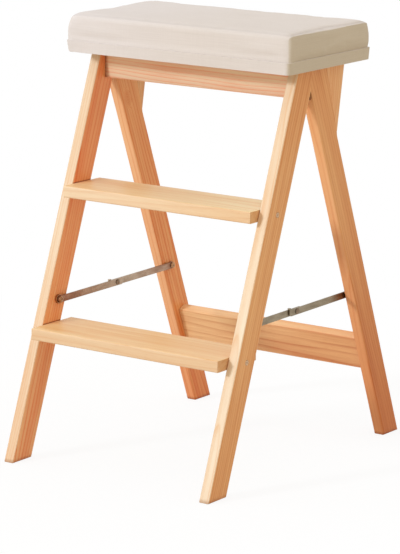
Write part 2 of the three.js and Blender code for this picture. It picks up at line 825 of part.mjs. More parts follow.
function ring(side, [y, z], nearX, farX, outerRadius) {
  const [from, to] = span(side, nearX, farX);
  const shape = new THREE.Shape();
  shape.absarc(y, z, outerRadius, 0, Math.PI * 2);
  const bore = new THREE.Path();
  bore.absarc(y, z, stayPivotRadius + fitGap, 0, Math.PI * 2);
  shape.holes.push(bore);
  return sideBoard(shape, from, to);
}

// Half of the middle rivet: each link carries the half on its own side.
function rivetHalf(side, which) {
  const [y, z] = stayJoint;
  const front = which === 'front';
  const stand = stayThickness + fitGap;
  const head = front
    ? headProfile(rivetHeadShares, rivetHeadRadius, rivetHeadHeight, stand)
    : headProfile(rivetBackShares, rivetHeadRadius, rivetBackHeight, stand);
  const profile = [[0, 0], [rivetRadius, 0], [rivetRadius, stand], ...head];
  const facing = right.clone().multiplyScalar(front ? -side : side);
  return turned(profile, facing, point(side * (front ? frontLinkOuter : rearLinkInner), y, z));
}

for (const [name, side] of sides) {
  add(stool, `stay_front_link_${name}`, frontLink(side), steel(stayColour));
  add(stool, `stay_rear_link_${name}`, rearLink(side), steel(stayColour));
  add(stool, `stay_rivet_head_${name}`, rivetHalf(side, 'front'), steel(stayColour));
  add(stool, `stay_rivet_back_${name}`, rivetHalf(side, 'rear'), steel(stayColour));
  add(frontFrame, `stay_spacer_${name}`, ring(side, stayFrontPivot, spacerInner, washerOuter, spacerRadius),
    steel(stayColour));
  add(rearFrame, `stay_washer_${name}`, ring(side, stayRearPivot, washerInner, washerOuter, washerRadius),
    steel(stayColour));
  add(frontFrame, `stay_screw_front_${name}`, pivotScrewSolid(side, stayFrontPivot, pivotTip.front),
    steel(screwColour));
  add(rearFrame, `stay_screw_rear_${name}`, pivotScrewSolid(side, stayRearPivot, pivotTip.rear),
    steel(screwColour));
}

export default stool;
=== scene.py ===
import bpy
import bmesh
import json
import math
from mathutils import Matrix, Vector, noise


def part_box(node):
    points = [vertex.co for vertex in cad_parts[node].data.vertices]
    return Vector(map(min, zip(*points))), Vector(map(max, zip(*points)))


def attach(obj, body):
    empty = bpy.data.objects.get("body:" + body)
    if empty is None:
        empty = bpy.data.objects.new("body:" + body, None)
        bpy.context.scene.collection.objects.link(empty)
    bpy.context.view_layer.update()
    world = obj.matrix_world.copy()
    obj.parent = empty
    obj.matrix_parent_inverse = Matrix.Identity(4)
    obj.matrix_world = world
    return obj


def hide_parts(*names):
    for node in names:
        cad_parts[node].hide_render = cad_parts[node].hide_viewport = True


# Folding step stool chair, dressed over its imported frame. Metres, +Z up, the treads face -Y.
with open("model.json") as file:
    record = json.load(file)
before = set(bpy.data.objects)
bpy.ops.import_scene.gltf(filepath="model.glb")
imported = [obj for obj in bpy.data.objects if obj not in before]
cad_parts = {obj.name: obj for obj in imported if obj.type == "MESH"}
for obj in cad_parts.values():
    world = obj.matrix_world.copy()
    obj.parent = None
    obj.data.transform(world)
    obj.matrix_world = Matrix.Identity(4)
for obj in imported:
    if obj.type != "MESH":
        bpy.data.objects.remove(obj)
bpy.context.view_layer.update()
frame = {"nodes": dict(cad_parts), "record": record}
nodes = frame["nodes"]
bodyOf = {name: body for body, names in frame["record"]["behaviour"]["bodies"].items() for name in names}
sides = {"left": -1, "right": 1}
millimetre = 0.001
print("frame loaded:", len(nodes), "nodes")


# Tools for node trees

def addNode(tree, kind, **settings):
    node = tree.nodes.new(kind)
    for key, value in settings.items():
        setattr(node, key, value)
    return node


def newGroup(name, inputs, outputs):
    group = bpy.data.node_groups.new(name, "ShaderNodeTree")
    for direction, sockets in (("INPUT", inputs), ("OUTPUT", outputs)):
        for kind, labels in sockets.items():
            for label in labels:
                group.interface.new_socket(name=label, in_out=direction, socket_type="NodeSocket" + kind)
    return group, addNode(group, "NodeGroupInput").outputs, addNode(group, "NodeGroupOutput")


def feed(tree, target, value):
    if isinstance(value, bpy.types.NodeSocket):
        tree.links.new(value, target)
    else:
        target.default_value = value


def feedAll(tree, node, values):
    for name, value in values.items():
        feed(tree, node.inputs[name], value)


def calculate(tree, operation, *values, clamp=False):
    node = addNode(tree, "ShaderNodeMath", operation=operation, use_clamp=clamp)
    for socket, value in zip(node.inputs, values):
        feed(tree, socket, value)
    return node.outputs[0]


def vectorOf(tree, operation, first, second=(0, 0, 0), output="Vector"):
    node = addNode(tree, "ShaderNodeVectorMath", operation=operation)
    feed(tree, node.inputs[0], first)
    feed(tree, node.inputs[1], second)
    return node.outputs[output]


def axesOf(tree, vector):
    node = addNode(tree, "ShaderNodeSeparateXYZ")
    tree.links.new(vector, node.inputs[0])
    return node.outputs


def remap(tree, value, low, high, toLow=0.0, toHigh=1.0):
    node = addNode(tree, "ShaderNodeMapRange", interpolation_type="SMOOTHSTEP")
    feedAll(tree, node, {"Value": value, "From Min": low, "From Max": high,
                         "To Min": toLow, "To Max": toHigh})
    return node.outputs["Result"]


faceTurn = (0.72, 0.86)      # between which cosines to a way a face begins to look along it


def facing(tree, coordinates, way, bothWays=True):
    # 1 on the faces that look along a way, or against it too
    share = vectorOf(tree, "DOT_PRODUCT", coordinates.outputs["Normal"], way, "Value")
    if bothWays:
        share = calculate(tree, "ABSOLUTE", share)
    return remap(tree, share, *faceTurn)


def stretchedNoise(tree, vector, stretch, detail=2.0, rough=0.55, output="Fac"):
    node = addNode(tree, "ShaderNodeTexNoise")
    stretched = vectorOf(tree, "MULTIPLY", vector, stretch)
    feedAll(tree, node, {"Vector": stretched, "Scale": 1.0, "Detail": detail, "Roughness": rough})
    return node.outputs[output]


def blend(tree, amount, first, second, mode="MIX"):
    node = addNode(tree, "ShaderNodeMix", data_type="RGBA", blend_type=mode)
    feed(tree, node.inputs[0], amount)
    feed(tree, node.inputs[6], first)
    feed(tree, node.inputs[7], second)
    return node.outputs[2]


def mixShaders(tree, amount, first, second, outputKind):
    mix = addNode(tree, "ShaderNodeMixShader")
    for socket, value in zip(mix.inputs, (amount, first, second)):
        feed(tree, socket, value)
    feed(tree, addNode(tree, outputKind).inputs["Surface"], mix.outputs[0])


def steps(tree, value, stops):
    ramp = addNode(tree, "ShaderNodeValToRGB")
    elements = ramp.color_ramp.elements
    while len(elements) < len(stops):
        elements.new(0.5)
    for element, (place, level) in zip(elements, stops):
        element.position = place
        element.color = (level, level, level, 1)
    tree.links.new(value, ramp.inputs[0])
    return ramp.outputs["Color"]


# Camera

cameraPlan = {
    "place": (2.61599, -3.69169, 1.25181),
    "azimuth": 35.456,       # degrees round from the front
    "elevation": 11.573,
    "roll": 0.370,
    "lens": 197.0,
    "shift": (0.00097, -0.06862),
    "farthest": 60,
}


def placeCamera(plan):
    azimuth, elevation, roll = (math.radians(plan[key]) for key in ("azimuth", "elevation", "roll"))
    back = Vector((math.sin(azimuth) * math.cos(elevation), -math.cos(azimuth) * math.cos(elevation),
                   math.sin(elevation)))
    level = Vector((math.cos(azimuth), math.sin(azimuth), 0))
    upright = back.cross(level)
    across = math.cos(roll) * level + math.sin(roll) * upright
    up = -math.sin(roll) * level + math.cos(roll) * upright
    camera = bpy.data.objects.new("camera", bpy.data.cameras.new("camera"))
    bpy.context.scene.collection.objects.link(camera)
    turn = Matrix((across, up, back)).transposed().to_4x4()
    camera.matrix_world = Matrix.Translation(plan["place"]) @ turn
    camera.data.lens = plan["lens"]
    camera.data.shift_x, camera.data.shift_y = plan["shift"]
    camera.data.clip_end = plan["farthest"]
    bpy.context.scene.camera = camera


placeCamera(cameraPlan)


# Light, floor and background

lightPlan = {
    "skyAbove": (0.90, 0.88, 0.85),
    "skyLeft": (0.83, 0.81, 0.80),
    "skyRight": (0.68, 0.56, 0.33),
    "skyTurns": (("X", -0.3, 0.6, "skyRight"), ("Z", 0.1, 0.9, "skyAbove")),
    "keyColour": (0.86, 0.93, 1.0),
    "keyStrength": 1.47,
    "keyFrom": (-0.406, -0.833, 0.375),
    "keyWidth": 9,           # degrees
    "floorRadius": 25,
    "floorBelow": 0.0002,
    "floorColour": (0.66, 0.60, 0.52),    # as the stool sees it
    "floorWhite": 0.88,      # part of the floor near the stool that stays white in its shadow
    "floorFade": (0.40, 1.1),
}


def seenDirectly(tree):
    # 1 for what the camera sees, straight, mirrored or through glass
    path = addNode(tree, "ShaderNodeLightPath").outputs
    seen = calculate(tree, "MAXIMUM", path["Is Camera Ray"], path["Is Glossy Ray"])
    return calculate(tree, "MAXIMUM", seen, path["Is Transmission Ray"])


def makeWorld(plan):
    world = bpy.data.worlds.new("studio")
    bpy.context.scene.world = world
    world.use_nodes = True
    tree = world.node_tree
    tree.nodes.clear()
    # a sky that is pale on the left, warm on the right and brightest above
    way = axesOf(tree, addNode(tree, "ShaderNodeTexCoord").outputs["Generated"])
    colour = (*plan["skyLeft"], 1)
    for axis, low, high, key in plan["skyTurns"]:
        colour = blend(tree, remap(tree, way[axis], low, high), colour, (*plan[key], 1))
    light = addNode(tree, "ShaderNodeBackground")
    feed(tree, light.inputs["Color"], colour)
    shown = addNode(tree, "ShaderNodeBackground")
    feed(tree, shown.inputs["Color"], (1, 1, 1, 1))
    mixShaders(tree, seenDirectly(tree), light.outputs[0], shown.outputs[0], "ShaderNodeOutputWorld")


def makeFloor(plan):
    bpy.ops.mesh.primitive_circle_add(vertices=96, radius=plan["floorRadius"], fill_type="NGON",
                                      location=(0, 0, -plan["floorBelow"]))
    floor = bpy.context.active_object
    floor.name = "studio_floor"
    material = bpy.data.materials.new("studio floor")
    material.use_nodes = True
    tree = material.node_tree
    tree.nodes.clear()
    paper = addNode(tree, "ShaderNodeBsdfDiffuse")
    shown = blend(tree, seenDirectly(tree), (*plan["floorColour"], 1), (1, 1, 1, 1))
    feed(tree, paper.inputs["Color"], shown)
    white = addNode(tree, "ShaderNodeEmission")
    place = addNode(tree, "ShaderNodeTexCoord").outputs["Object"]
    reach = vectorOf(tree, "LENGTH", place, output="Value")
    fade = remap(tree, reach, *plan["floorFade"], plan["floorWhite"], 1)
    share = calculate(tree, "MULTIPLY", fade, seenDirectly(tree))
    mixShaders(tree, share, paper.outputs[0], white.outputs[0], "ShaderNodeOutputMaterial")
    floor.data.materials.append(material)


def makeKey(plan):
    key = bpy.data.objects.new("key", bpy.data.lights.new("key", "SUN"))
    key.data.energy = plan["keyStrength"]
    key.data.color = plan["keyColour"]
    key.data.angle = math.radians(plan["keyWidth"])
    key.rotation_euler = Vector(plan["keyFrom"]).to_track_quat("Z", "Y").to_euler()
    bpy.context.scene.collection.objects.link(key)


makeWorld(lightPlan)
makeFloor(lightPlan)
makeKey(lightPlan)
bpy.context.scene.view_settings.view_transform = "Standard"
print("camera, floor and light placed")


# Shared effects for the materials

# noises are given in cells per metre, on wood and steel along the grain first
woodGrainPlan = {
    "wobble": (2.2, 14, 14),
    "bend": (0, 0.03, 0.03),
    "knotLong": (0.55, 1, 1),
    "knotRim": (0.0035, 0.011),
    "knotRings": 2.2,
    # how late a ring's wood is from one side of the ring to the other
    "late": ((0.0, 0.1), (0.1, 0.0), (0.6, 0.08), (0.84, 0.6), (0.9, 1.0), (0.95, 1.0), (1.0, 0.1)),
    # noise, its detail, and between which of its values the mark begins and is full
    "marks": {"streak": ((2.5, 120, 120), 3, 0.3, 0.75), "fibre": ((9, 900, 900), 3, 0.35, 0.8),
              "cloud": ((4, 22, 22), 2, 0.35, 0.7), "pore": ((60, 2300, 2300), 1, 0.66, 0.74)},
    "darkness": {"streak": 0.38, "fibre": 0.22, "cloud": 0.25, "knot": 0.25, "pore": 0.35},
    "dirt": (0.3, 0.6, 0.35, 1.0),
    "relief": {"fibre": 0.5, "late": -0.35, "pore": -0.5},
    "roughness": (0.16, 0.44),
    # what the colour is multiplied by, the crease tone being painted shade where boards meet
    "sawnEnd": (1.0, 0.87, 0.74, 1),
    "creaseShade": (0.38, 0.20, 0.13, 1),
    "scuffs": (0.62, 0.50, 0.40, 1),
}


def boardGrain(plan):
    # Sawn softwood: rings about a pith that lies along the vector's X, fibres and pores stretched along it.
    group, given, end = newGroup(
        "boardGrain",
        {"Vector": ("Vector", "Knot"),
         "Color": ("Edge Pale", "Edge Dark", "Face Pale", "Face Dark", "Edge Shading Tone", "Face Shading Tone"),
         "Float": ("Broad Face", "End Face", "Ring Spacing", "Ring Strength", "Painted Shading", "In Crease Shade",
                   "Near Floor")},
        {"Color": ("Color",), "Float": ("Height", "Roughness")})
    vector = given["Vector"]
    wobble = stretchedNoise(group, vector, plan["wobble"], rough=0.5, output="Color")
    centred = vectorOf(group, "SUBTRACT", wobble, (0.5, 0.5, 0.5))
    bent = vectorOf(group, "ADD", vector, vectorOf(group, "MULTIPLY", centred, plan["bend"]))
    reach = vectorOf(group, "LENGTH", vectorOf(group, "MULTIPLY", bent, (0, 1, 1)), output="Value")
    # rings part round a knot and close again past it
    toKnot = vectorOf(group, "SUBTRACT", bent, given["Knot"])
    toKnot = vectorOf(group, "MULTIPLY", toKnot, plan["knotLong"])
    knotReach = vectorOf(group, "LENGTH", toKnot, output="Value")
    inKnot = remap(group, knotReach, *plan["knotRim"], 1.0, 0.0)
    knotRing = calculate(group, "MULTIPLY", knotReach, plan["knotRings"])
    reach = calculate(group, "MULTIPLY_ADD", inKnot, calculate(group, "SUBTRACT", knotRing, reach), reach)
    ring = calculate(group, "FRACT", calculate(group, "DIVIDE", reach, given["Ring Spacing"]))
    late = steps(group, ring, plan["late"])
    noises, marks = {}, {"knot": inKnot}
    for name, (cells, detail, low, high) in plan["marks"].items():
        noises[name] = stretchedNoise(group, vector, cells, detail)
        marks[name] = remap(group, noises[name], low, high)
    # how dark each spot is, from 0 to 1
    shade = calculate(group, "MULTIPLY", late, given["Ring Strength"])
    for name, strength in plan["darkness"].items():
        shade = calculate(group, "MULTIPLY_ADD", marks[name], strength, shade, clamp=name == "pore")
    edge = blend(group, shade, given["Edge Pale"], given["Edge Dark"])
    broad = blend(group, shade, given["Face Pale"], given["Face Dark"])
    face = blend(group, given["Broad Face"], edge, broad)
    # painted light and shade at one end of the board
    fade = blend(group, given["Broad Face"], given["Edge Shading Tone"], given["Face Shading Tone"])
    dirt = remap(group, noises["cloud"], *plan["dirt"])
    scuffed = calculate(group, "MULTIPLY", given["Near Floor"], dirt)
    for amount, tone in ((given["End Face"], plan["sawnEnd"]), (given["Painted Shading"], fade),
                         (given["In Crease Shade"], plan["creaseShade"]), (scuffed, plan["scuffs"])):
        face = blend(group, amount, face, tone, mode="MULTIPLY")
    relief = plan["relief"]
    height = calculate(group, "MULTIPLY_ADD", noises["fibre"], relief["fibre"],
                       calculate(group, "MULTIPLY", late, relief["late"]))
    height = calculate(group, "MULTIPLY_ADD", marks["pore"], relief["pore"], height)
    feedAll(group, end, {"Color": face, "Height": height,
                         "Roughness": calculate(group, "MULTIPLY_ADD", shade, *plan["roughness"])})
    return group


clothWeavePlan = {
    "sides": (("Z", "X", "Y"), ("Y", "X", "Z"), ("X", "Y", "Z")),    # the way it looks, its threads' ways
    "sideRim": (0.5, 0.8),
    "slubs": ((14, 620, 620), (620, 14, 620), (620, 620, 14)),
    "slubsUp": 0.45,         # strength of the upright ones
    "slubTone": (0.3, 1.2, 0.15, 0.6),
    "slubRelief": 0.4,
    "cloud": (9, 9, 9),
    "cloudTone": 0.45,
    "threadTone": 0.2,       # how much paler the thread is on its back than in the gaps
}


def plainWeave(plan):
    # Linen-like cloth: plain weave of round threads, with slubs along both thread ways.
    group, given, end = newGroup(
        "plainWeave",
        {"Vector": ("Vector", "Facing"), "Color": ("Light Thread", "Dark Thread"), "Float": ("Thread",)},
        {"Color": ("Color",), "Float": ("Height",)})
    vector = given["Vector"]
    count = addNode(group, "ShaderNodeVectorMath", operation="SCALE")
    feedAll(group, count, {0: vector, "Scale": calculate(group, "DIVIDE", math.pi, given["Thread"])})
    place = axesOf(group, count.outputs[0])
    wave = {axis: calculate(group, "SINE", place[axis]) for axis in "XYZ"}
    normals = axesOf(group, vectorOf(group, "ABSOLUTE", given["Facing"]))
    height = 0.0
    for normal, across, along in plan["sides"]:
        over = calculate(group, "GREATER_THAN", calculate(group, "MULTIPLY", wave[across], wave[along]), 0.0)
        warp, weft = (calculate(group, "ABSOLUTE", wave[axis]) for axis in (across, along))
        thread = calculate(group, "MULTIPLY_ADD", over, calculate(group, "SUBTRACT", warp, weft), weft)
        weight = remap(group, normals[normal], *plan["sideRim"])
        height = calculate(group, "MULTIPLY_ADD", thread, weight, height)
    alongX, alongY, alongZ = (stretchedNoise(group, vector, cells, 2) for cells in plan["slubs"])
    sideways = remap(group, normals["X"], *plan["sideRim"])
    turned = calculate(group, "SUBTRACT", alongY, alongX)
    slub = calculate(group, "MULTIPLY_ADD", sideways, turned, alongX)
    slub = calculate(group, "MULTIPLY_ADD", alongZ, plan["slubsUp"], slub)
    cloud = stretchedNoise(group, vector, plan["cloud"], 2)
    tone = calculate(group, "MULTIPLY_ADD", cloud, plan["cloudTone"], remap(group, slub, *plan["slubTone"]))
    back = calculate(group, "MULTIPLY", height, plan["threadTone"])
    tone = calculate(group, "SUBTRACT", tone, back, clamp=True)
    feedAll(group, end, {"Color": blend(group, tone, given["Light Thread"], given["Dark Thread"]),
                         "Height": calculate(group, "MULTIPLY_ADD", slub, plan["slubRelief"], height)})
    return group


steelPlatingPlan = {
    "line": (30, 4200, 4200),
    "patch": (45, 130, 130),
    "speck": (420, 900, 900),
    "lineTone": 0.35,
    "patchTone": (0.3, 0.75, 0.1, 0.45),
    "speckRim": (0.66, 0.74),
    "speckTone": 0.5,
    "brownTone": (0.3, 0.6, 0.6, 1.0),
    "rust": (0.16, 0.085, 0.045, 1),
    "brown": (0.74, 0.46, 0.36, 1),      # what the colour is multiplied by towards a stay's ends, where it turns brown
    "roughness": (0.25, 0.24),
}


def brushedSteel(plan):
    # Plated strip steel: fine drawn lines along the vector's X, dull patches and a few brown specks.
    group, given, end = newGroup(
        "brushedSteel",
        {"Vector": ("Vector",), "Color": ("Bright", "Dull"), "Float": ("Brown Ends",)},
        {"Color": ("Color",), "Float": ("Height", "Roughness")})
    vector = given["Vector"]
    line = stretchedNoise(group, vector, plan["line"], 2)
    patch = stretchedNoise(group, vector, plan["patch"], 3)
    speck = remap(group, stretchedNoise(group, vector, plan["speck"], 2), *plan["speckRim"])
    dull = remap(group, patch, *plan["patchTone"])
    tone = calculate(group, "MULTIPLY_ADD", line, plan["lineTone"], dull, clamp=True)
    colour = blend(group, tone, given["Bright"], given["Dull"])
    colour = blend(group, calculate(group, "MULTIPLY", speck, plan["speckTone"]), colour, plan["rust"])
    brownEnds = calculate(group, "MULTIPLY", given["Brown Ends"], remap(group, patch, *plan["brownTone"]))
    feedAll(group, end, {"Color": blend(group, brownEnds, colour, plan["brown"], mode="MULTIPLY"), "Height": line,
                         "Roughness": calculate(group, "MULTIPLY_ADD", patch, *plan["roughness"])})
    return group


grainGroup = boardGrain(woodGrainPlan)
weaveGroup = plainWeave(clothWeavePlan)
steelGroup = brushedSteel(steelPlatingPlan)


def newMaterial(name, group):
    material = bpy.data.materials.new(name)
    material.use_nodes = True
    tree = material.node_tree
    principled = tree.nodes["Principled BSDF"]
    effect = addNode(tree, "ShaderNodeGroup", node_tree=group)
    bump = addNode(tree, "ShaderNodeBump")
    feed(tree, bump.inputs["Height"], effect.outputs["Height"])
    feedAll(tree, principled, {"Base Color": effect.outputs["Color"], "Normal": bump.outputs["Normal"]})
    if "Roughness" in effect.outputs:
        feed(tree, principled.inputs["Roughness"], effect.outputs["Roughness"])
    return material, tree, principled, effect, bump


def rgb(red, green, blue):
    # a colour picked in 0 to 255 steps, made linear for a socket
    channels = [value / 255 for value in (red, green, blue)]
    return (*[c / 12.92 if c <= 0.04045 else ((c + 0.055) / 1.055) ** 2.4 for c in channels], 1)


# Wood: one material for each board, so that no two boards share their grain

frontLean, rearLean = math.radians(20.0), math.radians(21.2)
grainWays = {
    "frontLeg": Vector((0, math.sin(frontLean), math.cos(frontLean))),
    "rearLeg": Vector((0, -math.sin(rearLean), math.cos(rearLean))),
    "ear": Vector((0, math.sin(math.radians(9)), math.cos(math.radians(9)))),
    "across": Vector((1, 0, 0)),
}


def woodTones(edgePale, edgeDark, facePale, faceDark):
    return {"edgePale": edgePale, "edgeDark": edgeDark, "facePale": facePale, "faceDark": faceDark}


frontTones = woodTones((235, 217, 189), (227, 185, 141), (248, 192, 129), (217, 135, 71))
# the left front leg's inner face tones are redder than its outer ones: painted bounce light in its shade
frontLeftTones = {**frontTones, "facePale": (255, 183, 123), "faceDark": (238, 121, 65),
                  "outerPale": (248, 184, 120), "outerDark": (219, 129, 67)}
rearTones = woodTones((247, 194, 144), (230, 154, 102), (248, 190, 130), (224, 136, 76))
# the same painted bounce light on the left rear leg's inner face
rearLeftTones = {**rearTones, "facePale": (255, 197, 133), "faceDark": (232, 126, 64),
                 "outerPale": (248, 196, 138), "outerDark": (222, 140, 82)}
rearRightTones = woodTones((245, 189, 136), (225, 147, 94), (242, 183, 119), (212, 126, 64))
earTones = woodTones((248, 200, 150), (234, 162, 110), (252, 209, 154), (230, 154, 95))
lowerTreadTones = woodTones((232, 200, 161), (218, 168, 121), (247, 213, 163), (232, 178, 114))
upperTreadTones = woodTones((241, 216, 182), (226, 180, 137), (250, 218, 170), (236, 184, 122))
dowelTones = woodTones((241, 210, 171), (225, 174, 127), (250, 218, 170), (236, 184, 122))
# the apron's pale face tones are painted light on its upper part, where the seat's shadow falls
apronTones = woodTones((248, 204, 160), (230, 160, 116), (255, 232, 194), (250, 168, 125))
railTones = woodTones((250, 208, 156), (234, 172, 116), (247, 202, 148), (208, 134, 84))
plyTones = woodTones((214, 180, 134), (160, 116, 74), (220, 186, 140), (188, 146, 98))
# pith: where the board's middle lies from the heart of the tree, in metres; ring: spacing in millimetres;
# tilt: degrees between the board and the grain; knot: place on the board, in the object's own millimetres;
# fade: what the colours of edge and face are multiplied by at one end of the board, and along which axis and
# between which places that fades away. It is painted light and shade: the right front and both rear legs
# darker toward the floor, the left front leg darker and redder toward the seat, the apron's lower part darker
# against the seat's shadow above it, the rail darker toward its right end, the upper tread's top paler at its
# right end
woodPlan = {
    "front_leg_left": {"way": "frontLeg", "pith": (0.3, 0.03, 0.024), "ring": 4.6, "strength": 0.58,
                       "tilt": 0.6, "fade": ((0.94, 0.82, 0.72), (1.0, 1.26, 1.46), "Z", 0, 600),
                       **frontLeftTones},
    "front_leg_right": {"way": "frontLeg", "pith": (1.1, 0.035, -0.022), "ring": 5.2, "strength": 0.45,
                        "tilt": 0.5, "fade": ((0.98, 0.96, 0.95), (0.98, 0.95, 0.92), "Z", 0, 300),
                        **frontTones},
    "rear_leg_left": {"way": "rearLeg", "pith": (0.7, -0.03, 0.022), "ring": 5.0, "strength": 0.58,
                      "tilt": 0.8, "knot": (-172, 26, 521),
                      "fade": ((0.92, 0.70, 0.56), (0.92, 0.72, 0.58), "Z", 0, 240), **rearLeftTones},
    "rear_leg_right": {"way": "rearLeg", "pith": (2.3, 0.035, 0.028), "ring": 5.4, "strength": 0.4,
                       "tilt": 0.7, "fade": ((0.84, 0.66, 0.52), (0.79, 0.49, 0.22), "Z", 0, 480),
                       **rearRightTones},
    "rear_ear_left": {"way": "ear", "pith": (1.6, 0.01, 0.018), "ring": 4.4, "strength": 0.5, "tilt": 3.5,
                      **earTones},
    "rear_ear_right": {"way": "ear", "pith": (0.2, -0.012, 0.016), "ring": 4.4, "strength": 0.45, "tilt": 3.5,
                       **earTones},
    "tread_lower": {"way": "across", "pith": (0.9, 0.02, 0.06), "ring": 7.5, "strength": 0.28, "tilt": 1.2,
                    **lowerTreadTones},
    "tread_upper": {"way": "across", "pith": (2.1, -0.03, 0.07), "ring": 7.0, "strength": 0.28, "tilt": 1.5,
                    "fade": ((0.96, 0.89, 0.79), (1.03, 1.20, 1.30), "X", 170, -120), **upperTreadTones},
    "apron_front": {"way": "across", "pith": (1.4, 0.010, -0.052), "ring": 6.2, "strength": 0.55, "tilt": 0.4,
                    "fade": ((1, 1, 1), (0.78, 0.83, 0.88), "Z", 562, 596), **apronTones},
    "rear_rail": {"way": "across", "pith": (0.5, 0.03, 0.06), "ring": 10.5, "strength": 0.42, "tilt": 1.6,
                  "fade": ((0.94, 0.84, 0.76), (0.89, 0.75, 0.66), "X", 130, -110), **railTones},
}


# painted shade where boards meet, deeper at the apron's left end where the left leg's shadow falls: how far
# it runs out in millimetres, and how strong it is
creaseShadePlan = {"tread": (2.3, 1.0), "apron": {"left": (8, 0.85), "right": (5, 0.45)}}


def addCreaseShade(tree, mask, place, level, reach, strength):
    away = calculate(tree, "ABSOLUTE", calculate(tree, "SUBTRACT", place, level))
    return calculate(tree, "MAXIMUM", remap(tree, away, 0.0, reach * millimetre, strength, 0.0), mask)


def legCreaseShade(tree, coordinates, place, inward):
    # painted shade on the leg's inner face, along both edges of each tread
    mask = 0.0
    for tread in ("tread_lower", "tread_upper"):
        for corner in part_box(tread):
            mask = addCreaseShade(tree, mask, place["Z"], corner[2], *creaseShadePlan["tread"])
    return calculate(tree, "MULTIPLY", mask, facing(tree, coordinates, (inward, 0, 0), bothWays=False))


def apronCreaseShade(tree, place):
    # painted shade at both ends of the apron, deeper at the left
    mask = 0.0
    for corner, side in zip(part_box("apron_front"), sides):
        mask = addCreaseShade(tree, mask, place["X"], corner[0], *creaseShadePlan["apron"][side])
    return mask


# the wood's finish, on the shader's own sockets
woodFinish = {"Specular IOR Level": 0.4, "Coat Weight": 0.12, "Coat Roughness": 0.3}
woodRelief = {"Strength": 0.35, "Distance": 0.0003}
toneKeys = {"Edge Pale": "edgePale", "Edge Dark": "edgeDark",
            "Face Pale": "facePale", "Face Dark": "faceDark"}
outerKeys = {"Face Pale": "outerPale", "Face Dark": "outerDark"}
farAway = Vector((9, 9, 9))  # where the knot of a board without one lies
scuffHeight = (0.001, 0.007)     # metres above the floor: all scuffed, and not at all


def woodMaterial(name, plan, centre):
    material, tree, principled, grain, bump = newMaterial("wood " + name, grainGroup)
    along = grainWays[plan["way"]]
    coordinates = addNode(tree, "ShaderNodeTexCoord")
    # turns the grain's way to X and puts the board's middle at its distance from the pith
    mapping = addNode(tree, "ShaderNodeMapping", vector_type="POINT")
    lean = Matrix.Rotation(math.radians(plan.get("tilt", 0)), 3, "Z")
    turn = lean @ along.rotation_difference(Vector((1, 0, 0))).to_matrix()
    feedAll(tree, mapping, {"Vector": coordinates.outputs["Object"], "Rotation": turn.to_euler(),
                            "Location": Vector(plan["pith"]) - turn @ centre})
    broadWay = (0, 0, 1) if name.startswith("tread") else (0, 1, 0) if plan["way"] == "across" else (1, 0, 0)
    feedAll(tree, grain, {socket: rgb(*plan[key]) for socket, key in toneKeys.items()})
    if "outerPale" in plan:
        # painted bounce light: a left leg's shaded inner face is redder than its outer one
        outside = facing(tree, coordinates, (-1, 0, 0), bothWays=False)
        for socket, key in outerKeys.items():
            tone = blend(tree, outside, rgb(*plan[toneKeys[socket]]), rgb(*plan[key]))
            feed(tree, grain.inputs[socket], tone)
    place = axesOf(tree, coordinates.outputs["Object"])
    knot = Vector(plan["knot"]) * millimetre if "knot" in plan else centre + farAway
    feedAll(tree, grain, {"Vector": mapping.outputs["Vector"], "Ring Spacing": plan["ring"] * millimetre,
                          "Ring Strength": plan["strength"],
                          "Knot": turn @ (knot - centre) + Vector(plan["pith"]),
                          "Broad Face": facing(tree, coordinates, broadWay),
                          "End Face": facing(tree, coordinates, tuple(along)),
                          "Near Floor": remap(tree, place["Z"], *scuffHeight, 1.0, 0.0)})
    # painted light and shade along the board
    if "fade" in plan:
        edgeTone, faceTone, axis, full, none = plan["fade"]
        low, high = sorted((full * millimetre, none * millimetre))
        share = (1.0, 0.0) if full < none else (0.0, 1.0)
        feedAll(tree, grain, {"Edge Shading Tone": (*edgeTone, 1), "Face Shading Tone": (*faceTone, 1),
                              "Painted Shading": remap(tree, place[axis], low, high, *share)})
    # painted shade along the treads and at the apron's ends
    if name.startswith("front_leg"):
        inward = -1 if name.endswith("right") else 1
        feed(tree, grain.inputs["In Crease Shade"], legCreaseShade(tree, coordinates, place, inward))
    if name == "apron_front":
        feed(tree, grain.inputs["In Crease Shade"], apronCreaseShade(tree, place))
    feedAll(tree, principled, woodFinish)
    feedAll(tree, bump, woodRelief)
    return material


def cornersOf(node):
    return [Vector(corner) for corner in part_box(node)]


def centreOf(node):
    low, high = cornersOf(node)
    return (low + high) / 2


dowelPlan = {"way": "across", "pith": (0, 0.03, 0), "ring": 3.5, "strength": 0.5, **dowelTones}
plyPlan = {"way": "across", "pith": (0, 0.3, 0.05), "ring": 9.0, "strength": 0.5, **plyTones}
woodMaterials = {name: woodMaterial(name, plan, centreOf(name)) for name, plan in woodPlan.items()}
woodMaterials["seat_board"] = woodMaterial("seat board", plyPlan, centreOf("seat_board"))
dowelWood = woodMaterial("dowels", dowelPlan, Vector((0, 0, 0)))


# Cloth and steel

# thread: its width in millimetres; side, right and seam multiply the cloth's colours, as painted shade on the
# pad's ends, painted warm light on its right and painted shade in the seam's groove; warmer: where that warm
# light begins and is full
clothTones = {"light": (232, 224, 222), "dark": (217, 208, 204), "thread": 0.7,
              "side": (0.90, 0.88, 0.78), "right": (0.966, 0.951, 0.915), "paintedWarmth": (-0.2, 0.06),
              "seam": (0.60, 0.58, 0.60)}
# between which distances from the stool's middle, along Y, the steel turns brown towards the stays' ends
stayTones = {"left": {"bright": (200, 180, 158), "dull": (140, 118, 96), "brownEnds": (0.02, 0.15)},
             # the right stay's darker tones are painted shade
             "right": {"bright": (168, 154, 130), "dull": (104, 90, 70), "brownEnds": (0.075, 0.135)}}
screwTones = {"bright": (222, 186, 148), "dull": (160, 122, 90)}
